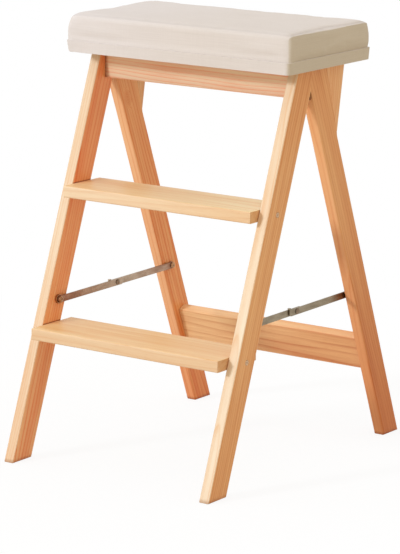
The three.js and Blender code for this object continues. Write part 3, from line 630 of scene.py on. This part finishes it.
# the hinge is brass, darkened as painted shade in the crotch between the legs
hingeTones = {"bright": (160, 98, 52), "dull": (106, 60, 32)}
# the fittings' brown is painted reflection of the wood beside the stays' ends
fittingTones = {"bright": (204, 158, 116), "dull": (132, 92, 62)}
rivetTones = {"bright": (158, 136, 112), "dull": (88, 70, 54)}
clothFinish = {"Roughness": 0.92, "Specular IOR Level": 0.25, "Sheen Weight": 0.15, "Sheen Roughness": 0.6}
clothRelief = {"Strength": 0.4, "Distance": 0.0002}
steelRelief = {"Strength": 0.15, "Distance": 0.0001}
endShadeTurn = (0.3, 0.8)         # as faceTurn, for the painted shade on the pad's ends


def clothMaterial(name, tones):
    material, tree, principled, weave, bump = newMaterial(name, weaveGroup)
    coordinates = addNode(tree, "ShaderNodeTexCoord")
    feedAll(tree, weave, {"Vector": coordinates.outputs["Object"], "Facing": coordinates.outputs["Normal"],
                          "Thread": tones["thread"] * millimetre,
                          "Light Thread": rgb(*tones["light"]), "Dark Thread": rgb(*tones["dark"])})
    plain = (1, 1, 1, 1)
    # painted shade: the pad's ends look darker
    ends = axesOf(tree, coordinates.outputs["Normal"])["X"]
    endFacing = remap(tree, calculate(tree, "ABSOLUTE", ends), *endShadeTurn)
    endShade = blend(tree, endFacing, plain, (*tones["side"], 1))
    # and painted warm light on the right
    place = axesOf(tree, coordinates.outputs["Object"])
    warmLight = blend(tree, remap(tree, place["X"], *tones["paintedWarmth"]), plain, (*tones["right"], 1))
    paintedWeave = blend(tree, 1.0, weave.outputs["Color"], warmLight, mode="MULTIPLY")
    # painted shade in the seam's groove
    seam = addNode(tree, "ShaderNodeAttribute", attribute_name="seam")
    paintedWeave = blend(tree, seam.outputs["Fac"], paintedWeave, (*tones["seam"], 1), mode="MULTIPLY")
    feed(tree, principled.inputs["Base Color"], blend(tree, 1.0, paintedWeave, endShade, mode="MULTIPLY"))
    feedAll(tree, bump, clothRelief)
    feedAll(tree, principled, clothFinish)
    return material


def steelMaterial(name, tones, turn=(0, 0, 0)):
    material, tree, principled, brushed, bump = newMaterial(name, steelGroup)
    coordinates = addNode(tree, "ShaderNodeTexCoord")
    mapping = addNode(tree, "ShaderNodeMapping")
    feedAll(tree, mapping, {"Vector": coordinates.outputs["Object"], "Rotation": turn})
    feedAll(tree, brushed, {"Vector": mapping.outputs["Vector"], "Bright": rgb(*tones["bright"]),
                            "Dull": rgb(*tones["dull"])})
    feedAll(tree, bump, steelRelief)
    feed(tree, principled.inputs["Metallic"], 1.0)
    if "brownEnds" in tones:
        fromMiddle = calculate(tree, "ABSOLUTE", axesOf(tree, coordinates.outputs["Object"])["Y"])
        feed(tree, brushed.inputs["Brown Ends"], remap(tree, fromMiddle, *tones["brownEnds"]))
    return material


seatCloth = clothMaterial("seat cloth", clothTones)
staySteel = {side: steelMaterial("stay steel " + side, tones, (0, 0, math.radians(-90)))   # drawn along Y
             for side, tones in stayTones.items()}
screwSteel = steelMaterial("screw steel", screwTones)
hingeSteel = steelMaterial("hinge steel", hingeTones, (0, math.radians(90), 0))
fittingSteel = steelMaterial("stay fittings", fittingTones)
rivetSteel = steelMaterial("stay rivets", rivetTones)
print("materials made")


# Tools for pieces

hair = 0.0001                # metres: places nearer than this count as one
flatWithin = 0.5             # degrees: faces that turn less than this count as one


def activate(piece):
    bpy.ops.object.select_all(action="DESELECT")
    piece.select_set(True)
    bpy.context.view_layer.objects.active = piece


def paint(piece, material):
    piece.data.materials.clear()
    piece.data.materials.append(material)


def applyModifier(piece, kind, **settings):
    activate(piece)
    bpy.ops.object.modifier_add(type=kind)
    modifier = piece.modifiers[-1]
    for key, value in settings.items():
        setattr(modifier, key, value)
    bpy.ops.object.modifier_apply(modifier=modifier.name)


def extent(piece):
    places = [vertex.co for vertex in piece.data.vertices]
    return [Vector([pick(place[axis] for place in places) for axis in range(3)]) for pick in (min, max)]


def startEditing(piece):
    activate(piece)
    bpy.ops.object.mode_set(mode="EDIT")
    return bmesh.from_edit_mesh(piece.data)


def stopEditing():
    bpy.ops.object.mode_set(mode="OBJECT")


def mergeNear(piece, reach):
    # leaves edit mode on
    startEditing(piece)
    bpy.ops.mesh.select_all(action="SELECT")
    bpy.ops.mesh.remove_doubles(threshold=reach)


def copyOfNode(node, name):
    # a merged copy of a CAD node, to be finished as a piece of its own
    piece = bpy.data.objects.new(name, nodes[node].data.copy())
    bpy.context.scene.collection.objects.link(piece)
    mergeNear(piece, hair / 10)
    bpy.ops.mesh.dissolve_limited(angle_limit=math.radians(flatWithin))
    stopEditing()
    return piece


def boxPiece(name, low, high):
    bpy.ops.mesh.primitive_cube_add(size=1, location=[(a + b) / 2 for a, b in zip(low, high)])
    piece = bpy.context.active_object
    piece.name = name
    piece.scale = [b - a for a, b in zip(low, high)]
    activate(piece)
    bpy.ops.object.transform_apply(location=True, rotation=True, scale=True)
    return piece


def bevelEdges(piece, wanted, offset, segments):
    startEditing(piece)
    bpy.ops.mesh.select_mode(type="EDGE")
    bpy.ops.mesh.select_all(action="DESELECT")
    shape = bmesh.from_edit_mesh(piece.data)
    for edge in shape.edges:
        edge.select = wanted(edge)
    bmesh.update_edit_mesh(piece.data)
    bpy.ops.mesh.bevel(offset=offset * millimetre, offset_type="OFFSET", segments=segments, profile=0.5,
                       affect="EDGES", clamp_overlap=False)
    stopEditing()


def cutLevels(piece, places, axis=2):
    # cuts the mesh through at each place along an axis, and leaves it whole
    across = [1 if index == axis else 0 for index in range(3)]
    shape = startEditing(piece)
    for reach in places:
        everything = shape.verts[:] + shape.edges[:] + shape.faces[:]
        bmesh.ops.bisect_plane(shape, geom=everything, dist=hair / 5, plane_no=across,
                               plane_co=[reach * part for part in across])
    bmesh.update_edit_mesh(piece.data)
    stopEditing()


def upright(edge):
    first, second = (vertex.co for vertex in edge.verts)
    return abs(first.z - second.z) > 10 * hair and (first - second).xy.length < hair


def levelAt(*heights):
    return lambda edge: any(all(abs(vertex.co.z - height) < hair for vertex in edge.verts)
                            for height in heights)


def sharp(edge, degrees=20):
    return len(edge.link_faces) == 2 and edge.calc_face_angle() > math.radians(degrees)


def smoothOver(piece, angle=35):
    activate(piece)
    bpy.ops.object.shade_smooth_by_angle(angle=math.radians(angle))
    applyModifier(piece, "WEIGHTED_NORMAL", keep_sharp=True)


def standFor(piece, node, material):
    paint(piece, material)
    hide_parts(node)
    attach(piece, bodyOf[node])


# Boards: every board gets its long edges rounded over

boardPlan = {
    "round": 0.8,            # millimetres, as all sizes here
    "seatBoardRound": 1.6,
    "segments": 3,
    "shortest": 12,          # shorter edges belong to bores and pockets, and stay sharp
    "seamClear": 4,
    "seamShare": 0.2,        # of a packed seam that stays open where it is tightest
    "seamReach": 2.2,        # from the middle of the seam, holds the eased edges on both sides
    "belowCrotch": 6,        # how far down the seam's edges stay sharp
    "jointReach": 2.5,       # from the ear's joint, holds the leg's eased edges
    "jointClear": 0.6,       # from the ear's joint, edges stay sharp
    "runOut": 8,             # over which a rear leg's eased edges end under the ear's toe
}
seamY = (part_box("front_leg_left")[1][1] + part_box("rear_leg_left")[0][1]) / 2
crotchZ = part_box("hinge_pin_left")[0][2]
earToe, earTop = (corner[2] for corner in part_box("rear_ear_left"))


def earCorner(height):
    # the ear's corner next to the leg, at that height, in the plane of Y and Z
    vertices = nodes["rear_ear_left"].data.vertices
    level = [vertex.co for vertex in vertices if abs(vertex.co.z - height) < hair]
    return min(level, key=lambda place: place.y).yz


earRun = (earCorner(earTop) - earCorner(earToe)).normalized()
earOut = Vector((0, earRun.y, -earRun.x))        # square to the joint, away from the leg


def fromEar(place):
    return place.dot(earOut) - earCorner(earToe).dot(earOut.yz)


legGap = -max(fromEar(vertex.co) for vertex in nodes["rear_leg_left"].data.vertices
              if vertex.co.z > earToe - hair)


def taperToe(piece):
    # draws the ear's blunt toe down to a feather edge on the leg's back
    lowest = extent(piece)[0].z
    toe = [vertex for vertex in piece.data.vertices if vertex.co.z < lowest + hair]
    inner = min(vertex.co.y for vertex in toe)
    outer = max(vertex.co.y for vertex in toe)
    back = max((vertex.co for vertex in piece.data.vertices), key=lambda place: place.y)
    flare = (back.y - outer) / (back.z - lowest)
    drop = (outer - inner) / (flare + math.tan(rearLean))
    for vertex in toe:
        if vertex.co.y > (inner + outer) / 2:
            vertex.co.y -= flare * drop
            vertex.co.z -= drop


def squareJoint(piece, node, plan):
    # the rear leg's eased back edges run out under the ear's toe, so that its joint with the ear is tight
    cutLevels(piece, [earToe - plan["runOut"] * millimetre])
    low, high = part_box(node)
    for vertex in piece.data.vertices:
        away = fromEar(vertex.co)
        if vertex.co.z > earToe - 10 * hair and away > -plan["jointReach"] * millimetre:
            vertex.co -= earOut * (away + legGap)
            vertex.co.x = min(low[0], high[0], key=lambda edge: abs(edge - vertex.co.x))
    mergeNear(piece, 2 * hair)
    stopEditing()


def closeEar(piece, plan):
    # the ear touches the leg at its toe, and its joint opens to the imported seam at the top
    for vertex in piece.data.vertices:
        if abs(fromEar(vertex.co)) < hair:
            height = (vertex.co.z - earToe) / (earTop - earToe)
            vertex.co -= earOut * legGap * (1 - plan["seamShare"]) * (1 - height)


def closeSeam(piece, node, plan):
    # front and rear leg meet in a tight seam above the hinge pin, without a groove on the faces
    low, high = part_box(node)
    side = 1 if "rear" in node else -1
    gap = (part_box("rear_leg_left")[0][1] - seamY) * plan["seamShare"]
    for vertex in piece.data.vertices:
        fromSeam = (vertex.co.y - seamY) * side
        onFace = min(vertex.co.x - low[0], high[0] - vertex.co.x) < hair
        eased = onFace and fromSeam < plan["seamReach"] * millimetre
        if vertex.co.z > crotchZ and (fromSeam < 3 * hair or eased):
            vertex.co.y = seamY + side * gap


def roundedBoard(node, plan):
    piece = copyOfNode(node, node + "_board")

    def longEdge(edge):
        places = [vertex.co for vertex in edge.verts]
        atSeam = all(abs(place.y - seamY) < plan["seamClear"] * millimetre
                     and place.z > crotchZ - plan["belowCrotch"] * millimetre for place in places)
        clear = plan["jointClear"] * millimetre
        atEar = all(abs(fromEar(place)) < clear and place.z > earToe - clear for place in places)
        joint = atSeam or (atEar and node.startswith("rear"))
        return sharp(edge) and edge.calc_length() > plan["shortest"] * millimetre and not joint

    if "rear_leg_" in node:
        squareJoint(piece, node, plan)
    if "_ear_" in node:
        taperToe(piece)
        closeEar(piece, plan)
    if "_leg_" in node:
        closeSeam(piece, node, plan)
    bevelEdges(piece, longEdge, plan["round"], plan["segments"])
    smoothOver(piece)
    standFor(piece, node, woodMaterials[node])


def roundedSeatBoard(plan):
    piece = copyOfNode("seat_board", "seat_board_rounded")
    low, high = cornersOf("seat_board")
    margin = plan["shortest"] * millimetre

    def rim(edge):
        outside = all(not low.x + margin <= vertex.co.x <= high.x - margin
                      or not low.y + margin <= vertex.co.y <= high.y - margin for vertex in edge.verts)
        return outside and sharp(edge) and levelAt(low.z, high.z)(edge)

    bevelEdges(piece, rim, plan["seatBoardRound"], plan["segments"])
    standFor(piece, "seat_board", woodMaterials["seat_board"])
    return piece


for node in woodPlan:
    roundedBoard(node, boardPlan)
seatBoard = roundedSeatBoard(boardPlan)
for node, piece in nodes.items():
    if "dowel" in node:
        paint(piece, dowelWood)
print("boards rounded:", len(woodPlan) + 1)


# Hardware: stays, rivets and pivot screws with eased edges, cross recesses in the screws that show

hardwarePlan = {
    "ease": 0.3,             # millimetres
    "easeSteps": 2,
    "turn": 40,              # degrees, from which a steel edge is eased
    "recessReach": 0.6,      # of the head's radius
    "recessWidth": 0.95,
    "recessDepth": 1.1,
    "recessTaper": 0.55,     # width at the bottom, as a share of the width at the top
    "cutterOver": 2,         # how far the cutter stands out of the head
    "headRound": 0.7,
    "headSteps": 3,
    "headTurn": 30,
    "stayHead": 5,           # radius of the screw heads
    "treadHead": 4,
}


def easedSteel(node, plan, material):
    piece = copyOfNode(node, node + "_steel")
    bevelEdges(piece, lambda edge: sharp(edge, plan["turn"]), plan["ease"], plan["easeSteps"])
    smoothOver(piece, plan["turn"])
    standFor(piece, node, material)
    return piece


def crossRecess(piece, way, radius, plan):
    # cuts a cross into the head, on the piece's face that looks along X
    low, high = extent(piece)
    centre = (low + high) / 2
    top = high.x if way > 0 else low.x
    bottom = top - way * plan["recessDepth"] * millimetre
    reach, half = radius * plan["recessReach"], plan["recessWidth"] * millimetre / 2
    for acrossY, acrossZ in ((reach, half), (half, reach)):
        ends = sorted((bottom, top + way * plan["cutterOver"] * millimetre))
        cutter = boxPiece("recess_cutter", (ends[0], centre.y - acrossY, centre.z - acrossZ),
                          (ends[1], centre.y + acrossY, centre.z + acrossZ))
        for vertex in cutter.data.vertices:
            if abs(vertex.co.x - bottom) < hair:
                vertex.co.yz = centre.yz + (vertex.co.yz - centre.yz) * plan["recessTaper"]
        applyModifier(piece, "BOOLEAN", operation="DIFFERENCE", object=cutter, solver="EXACT")
        bpy.data.objects.remove(cutter)


for node, piece in nodes.items():
    if node.startswith("hinge"):
        paint(piece, hingeSteel)
    elif node.startswith("seat_screw"):
        paint(piece, screwSteel)
for side, way in sides.items():
    for steel, fittings in ((staySteel[side], ("front_link", "rear_link")),
                            (rivetSteel, ("rivet_head", "rivet_back")),
                            (fittingSteel, ("spacer", "washer"))):
        for fitting in fittings:
            easedSteel("stay_" + fitting + "_" + side, hardwarePlan, steel)
    for end in ("front", "rear"):
        screw = easedSteel("stay_screw_" + end + "_" + side, hardwarePlan, fittingSteel)
        crossRecess(screw, -way, hardwarePlan["stayHead"] * millimetre, hardwarePlan)
        smoothOver(screw, hardwarePlan["headTurn"])
    for tread in ("lower", "upper"):
        node = "tread_screw_" + tread + "_" + side
        screw = copyOfNode(node, node + "_cut")
        outside = max(vertex.co.x * way for vertex in screw.data.vertices)
        bevelEdges(screw, lambda edge: all(v.co.x * way > outside - hair for v in edge.verts) and sharp(edge),
                   hardwarePlan["headRound"], hardwarePlan["headSteps"])
        crossRecess(screw, way, hardwarePlan["treadHead"] * millimetre, hardwarePlan)
        smoothOver(screw, hardwarePlan["headTurn"])
        standFor(screw, node, screwSteel)
print("hardware finished")


# Seat: the board's cloth cover, pulled tight and turned under

coverPlan = {
    "edgeRound": 0.45,       # millimetres, as all sizes here
    "edgeSteps": 4,
    "cornerDraw": {(-1, -1): 2.5, (-1, 1): 2.5, (1, 1): 1.6},    # how far corners are drawn in, by their side
    "cornerLift": 0.6,       # of that draw, how far the corners on the left rise
    "drawReach": 14,
    "cornerRound": 8,
    "cornerSteps": 8,
    "wall": 1.0,
    "turnUnder": 28,
    "firstTurn": 1,          # a narrow strip is turned under first, and then drawn out to the whole width
    "openingRound": 4,
    "pleatDepth": 1.0,
    "smoothUnder": 40,       # degrees
}


def drawCorners(piece, low, high, plan):
    for (sideX, sideY), draw in plan["cornerDraw"].items():
        corner = Vector((low.x if sideX < 0 else high.x, low.y if sideY < 0 else high.y, low.z))
        for vertex in piece.data.vertices:
            share = max(0, 1 - (vertex.co - corner).length / (plan["drawReach"] * millimetre))
            pull = Vector((-sideX, -sideY, plan["cornerLift"] if sideX < 0 else 0))
            vertex.co += pull * share * draw * millimetre


def openBelow(piece, low, high, plan):
    # turns the cloth under on all sides and leaves the underside open between
    middle = (low + high) / 2
    startEditing(piece)
    bpy.ops.mesh.select_mode(type="FACE")
    bpy.ops.mesh.select_all(action="DESELECT")
    shape = bmesh.from_edit_mesh(piece.data)
    for face in shape.faces:
        face.select = face.calc_center_median().z < low.z + hair
    bmesh.update_edit_mesh(piece.data)
    bpy.ops.mesh.inset(thickness=plan["firstTurn"] * millimetre)
    shape = bmesh.from_edit_mesh(piece.data)
    outerRound, innerRound = plan["cornerRound"] * millimetre, plan["openingRound"] * millimetre
    smaller = innerRound / (outerRound - plan["firstTurn"] * millimetre)
    for vertex in [vertex for vertex in shape.verts if vertex.select]:
        for axis in (0, 1):
            side = 1 if vertex.co[axis] > middle[axis] else -1
            limit = high[axis] if side > 0 else low[axis]
            fromArc = vertex.co[axis] - (limit - side * outerRound)
            arcStart = limit - side * (plan["turnUnder"] * millimetre + innerRound)
            vertex.co[axis] = arcStart + fromArc * smaller
    bmesh.update_edit_mesh(piece.data)
    bpy.ops.mesh.delete(type="FACE")
    stopEditing()


def boardCover(board, plan):
    low, high = cornersOf("seat_board_cover")
    middle = (low + high) / 2
    piece = boxPiece("seat_board_cloth", low, high)
    bevelEdges(piece, upright, plan["cornerRound"], plan["cornerSteps"])
    openBelow(piece, low, high, plan)
    inwards = plan["turnUnder"] * millimetre / 2

    def onRim(place):
        return min(place.x - low.x, high.x - place.x, place.y - low.y, high.y - place.y) < inwards

    bevelEdges(piece, lambda edge: levelAt(low.z, high.z)(edge) and all(onRim(v.co) for v in edge.verts)
               and sharp(edge), plan["edgeRound"], plan["edgeSteps"])
    # pleats: at each corner every other ray of the turned-under cloth hangs lower at its inner end
    inner = [vertex for vertex in piece.data.vertices
             if vertex.co.z < low.z + hair and not onRim(vertex.co)]
    for sideX in (-1, 1):
        for sideY in (-1, 1):
            corner = [vertex for vertex in inner
                      if (vertex.co.x - middle.x) * sideX > 0 and (vertex.co.y - middle.y) * sideY > 0]
            corner.sort(key=lambda vertex: (vertex.co.x - middle.x) * sideX)
            for vertex in corner[1:-1:2]:
                vertex.co.z -= plan["pleatDepth"] * millimetre
    drawCorners(piece, low, high, plan)
    drawCorners(board, low, high, plan)
    smoothOver(board)
    applyModifier(piece, "SOLIDIFY", thickness=plan["wall"] * millimetre, offset=-1)
    smoothOver(piece, plan["smoothUnder"])
    standFor(piece, "seat_board_cover", seatCloth)


boardCover(seatBoard, coverPlan)
print("board cover made")


# Seat pad: blown up by cloth simulation, pressed flat on the board, then seamed

padPlan = {
    "standIn": {"front": 2.0, "back": 0.3, "left": -1.2, "right": -1.2},   # from the wrapped board's faces
    "turn": 0.3,             # degrees, as the pad sits on the board
    "clearance": 0.05,
    "cornerRound": 7.5,
    "cornerSteps": 6,
    "topRound": 5.5,
    "topSteps": 5,
    "startSmaller": 2,
    "sunk": 9,               # how far the pad's round foot lies below the board before it is pressed flat
    "voxel": 4.2,
    "cloth": {"use_pressure": True, "uniform_pressure_force": 4, "quality": 6, "tension_stiffness": 40,
              "compression_stiffness": 40, "bending_stiffness": 4},
    "frames": 20,
    "cap": 2.6,              # how far the cloth moves at most
    "crown": -0.6,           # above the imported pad
    "cornerTuck": {"left": 4.0, "right": 2.4},   # how far each top corner is drawn in
    "tuckReach": 26,
    "tuckDrop": 0.6,         # of that, how far the corner also sinks
    "footReach": 9,          # height over which the foot spreads to the board's edge
    "footInside": 0.3,       # where it stops, inside that edge
    "footCut": 0.8,          # height of the lowest row of faces
    "squareReach": 7.5,      # over which the top edge on the right is made crisp
    "squareCuts": (0.125, 0.25, 0.375, 0.5, 0.75),    # of that reach, where the mesh is cut for it
    "squarePower": 7,
    "seamBelow": 2.0,        # from the top of the pad down to the seam on its shoulder
    "seamDepth": 1.1,
    "frontSeamShare": 0.35,  # of that depth, where the seam runs along the front, back and left
    "seamWidth": 1.5,
    "seamSteep": 1.6,
    "puckerSize": 70,        # noise cells per metre, as the wrinkles' sizes
    "pucker": 0.35,          # of the seam's depth
    "ripple": 0.3,
    "rippleReach": 4,        # seam widths
    "wrinkle": 0.3,
    "wrinkleSizes": (16, 38),
    "wrinkleFree": 12,       # height over the foot from which the cloth wrinkles fully
    "smoothUnder": 60,       # degrees
}


def padTarget(plan):
    boardLow, boardHigh = cornersOf("seat_board_cover")
    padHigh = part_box("seat_pad")[1]
    inset = {side: value * millimetre for side, value in plan["standIn"].items()}
    low = Vector((boardLow.x + inset["left"], boardLow.y + inset["front"],
                  boardHigh.z + plan["clearance"] * millimetre))
    high = Vector((boardHigh.x - inset["right"], boardHigh.y - inset["back"],
                   padHigh[2] + plan["crown"] * millimetre))
    return low, high


def blowUp(piece, plan):
    start = [vertex.co.copy() for vertex in piece.data.vertices]
    activate(piece)
    bpy.ops.object.modifier_add(type="CLOTH")
    cloth = piece.modifiers[-1]
    for key, value in plan["cloth"].items():
        setattr(cloth.settings, key, value)
    cloth.settings.effector_weights.gravity = 0
    scene = bpy.context.scene
    for step in range(1, plan["frames"] + 1):
        scene.frame_set(step)
    blown = piece.evaluated_get(bpy.context.evaluated_depsgraph_get())
    moved = [vertex.co.copy() for vertex in blown.data.vertices]
    piece.modifiers.remove(cloth)
    scene.frame_set(1)
    cap = plan["cap"] * millimetre
    for vertex, before, after in zip(piece.data.vertices, start, moved):
        shift = after - before
        if shift.length > 0:
            shift *= cap * math.tanh(shift.length / cap) / shift.length
        vertex.co = before + shift


def fitBox(piece, low, high):
    nowLow, nowHigh = extent(piece)
    for vertex in piece.data.vertices:
        vertex.co = [low[axis] + (vertex.co[axis] - nowLow[axis]) / (nowHigh[axis] - nowLow[axis])
                     * (high[axis] - low[axis]) for axis in range(3)]


def settle(piece, low, high, plan):
    # draws the top corners in, and spreads the foot to the board's edge but for the right front corner
    boardLow, boardHigh = cornersOf("seat_board_cover")
    edge = plan["footInside"] * millimetre
    middle = (low + high) / 2
    tuckReach, footReach = plan["tuckReach"] * millimetre, plan["footReach"] * millimetre

    def near(distance, reach):
        share = min(1, max(0, 1 - distance / reach))
        return share * share * (3 - 2 * share)

    for vertex in piece.data.vertices:
        place = vertex.co.copy()
        sideX, sideY = (1 if place.x > middle.x else -1), (1 if place.y > middle.y else -1)
        fromX = (high.x - place.x) if sideX > 0 else (place.x - low.x)
        fromY = (high.y - place.y) if sideY > 0 else (place.y - low.y)
        corner = near(fromX, tuckReach) * near(fromY, tuckReach)
        tuck = plan["cornerTuck"]["right" if sideX > 0 else "left"] * millimetre
        drawn = tuck * corner * near(high.z - place.z, tuckReach)
        kept = corner if sideX > 0 and sideY < 0 else 0
        spread = near(place.z - low.z, footReach) * (1 - kept)
        for axis, side in ((0, sideX), (1, sideY)):
            share = (place[axis] - low[axis]) / (high[axis] - low[axis])
            flush = boardLow[axis] + edge + share * (boardHigh[axis] - boardLow[axis] - 2 * edge)
            vertex.co[axis] += (flush - place[axis]) * spread - side * drawn
        vertex.co.z -= drawn * plan["tuckDrop"]


def squareRight(piece, high, plan):
    # turns the round shoulder along the right of the top panel into a crisp one
    reach, power = plan["squareReach"] * millimetre, plan["squarePower"]
    cutLevels(piece, [high.x - share * reach for share in plan["squareCuts"]], axis=0)
    cutLevels(piece, [high.z - share * reach for share in plan["squareCuts"]])
    for vertex in piece.data.vertices:
        out, up = 1 - (high.x - vertex.co.x) / reach, 1 - (high.z - vertex.co.z) / reach
        if out > 0 and up > 0:
            grow = max(1, min(math.hypot(out, up), 1) / (out ** power + up ** power) ** (1 / power))
            vertex.co.x = high.x - (1 - out * grow) * reach
            vertex.co.z = high.z - (1 - up * grow) * reach


def seamPad(piece, low, high, plan):
    # a groove round the sides under the top panel, with puckers along it, and soft wrinkles all over; the
    # groove's painted shade is kept in the seam attribute
    seamHeight = high.z - plan["seamBelow"] * millimetre
    width = plan["seamWidth"] * millimetre
    coarse, fine = plan["wrinkleSizes"]
    cutLevels(piece, [seamHeight + step * width / 2 for step in (-2, -1, 0, 1, 2)])
    normals = [vertex.normal.copy() for vertex in piece.data.vertices]
    seam = piece.data.attributes.new("seam", "FLOAT", "POINT")
    for vertex, normal, mark in zip(piece.data.vertices, normals, seam.data):
        place = vertex.co
        pucker = noise.noise(Vector((place.x * plan["puckerSize"], place.y * plan["puckerSize"], 3.0)))
        away = (place.z - seamHeight) / width
        groove = math.exp(-(away * plan["seamSteep"]) ** 2) * (1 + plan["pucker"] * pucker)
        ripple = math.exp(-(away / plan["rippleReach"]) ** 2) * pucker * plan["ripple"]
        broad = noise.noise(place * coarse) + 0.5 * noise.noise(place * fine + Vector((5, 5, 5)))
        free = min(1, max(0, (place.z - low.z) / (plan["wrinkleFree"] * millimetre)))
        # painted shade for the groove, strongest on the right side
        mark.value = groove * max(plan["frontSeamShare"] / 2, normal.x)
        depth = plan["seamDepth"] * max(plan["frontSeamShare"], normal.x)
        push = (plan["wrinkle"] * broad + ripple) * free - depth * groove
        vertex.co += normal * push * millimetre


def makePad(plan):
    low, high = padTarget(plan)
    sunk = Vector((0, 0, plan["sunk"] * millimetre))
    room = Vector([plan["startSmaller"] * millimetre] * 3)
    piece = boxPiece("seat_pad_cushion", low - sunk + room, high - room)
    bevelEdges(piece, upright, plan["cornerRound"], plan["cornerSteps"])
    bevelEdges(piece, levelAt((high - room).z, (low - sunk + room).z), plan["topRound"], plan["topSteps"])
    piece.data.remesh_voxel_size = plan["voxel"] * millimetre
    activate(piece)
    bpy.ops.object.voxel_remesh()
    blowUp(piece, plan)
    fitBox(piece, low - sunk, high)
    applyModifier(piece, "SUBSURF", levels=1, render_levels=1)
    # the board presses the sunk foot flat
    cutLevels(piece, [low.z, low.z + plan["footCut"] * millimetre])
    for vertex in piece.data.vertices:
        vertex.co.z = max(vertex.co.z, low.z)
    squareRight(piece, high, plan)
    seamPad(piece, low, high, plan)
    fitBox(piece, low, high)
    middle = (low + high) / 2
    piece.data.transform(Matrix.Translation(middle) @ Matrix.Rotation(math.radians(plan["turn"]), 4, "Z")
                         @ Matrix.Translation(-middle))
    settle(piece, low, high, plan)
    activate(piece)
    bpy.ops.object.shade_smooth_by_angle(angle=math.radians(plan["smoothUnder"]))
    standFor(piece, "seat_pad", seatCloth)
    return piece


seatPad = makePad(padPlan)
print("seat pad made:", len(seatPad.data.polygons), "faces")
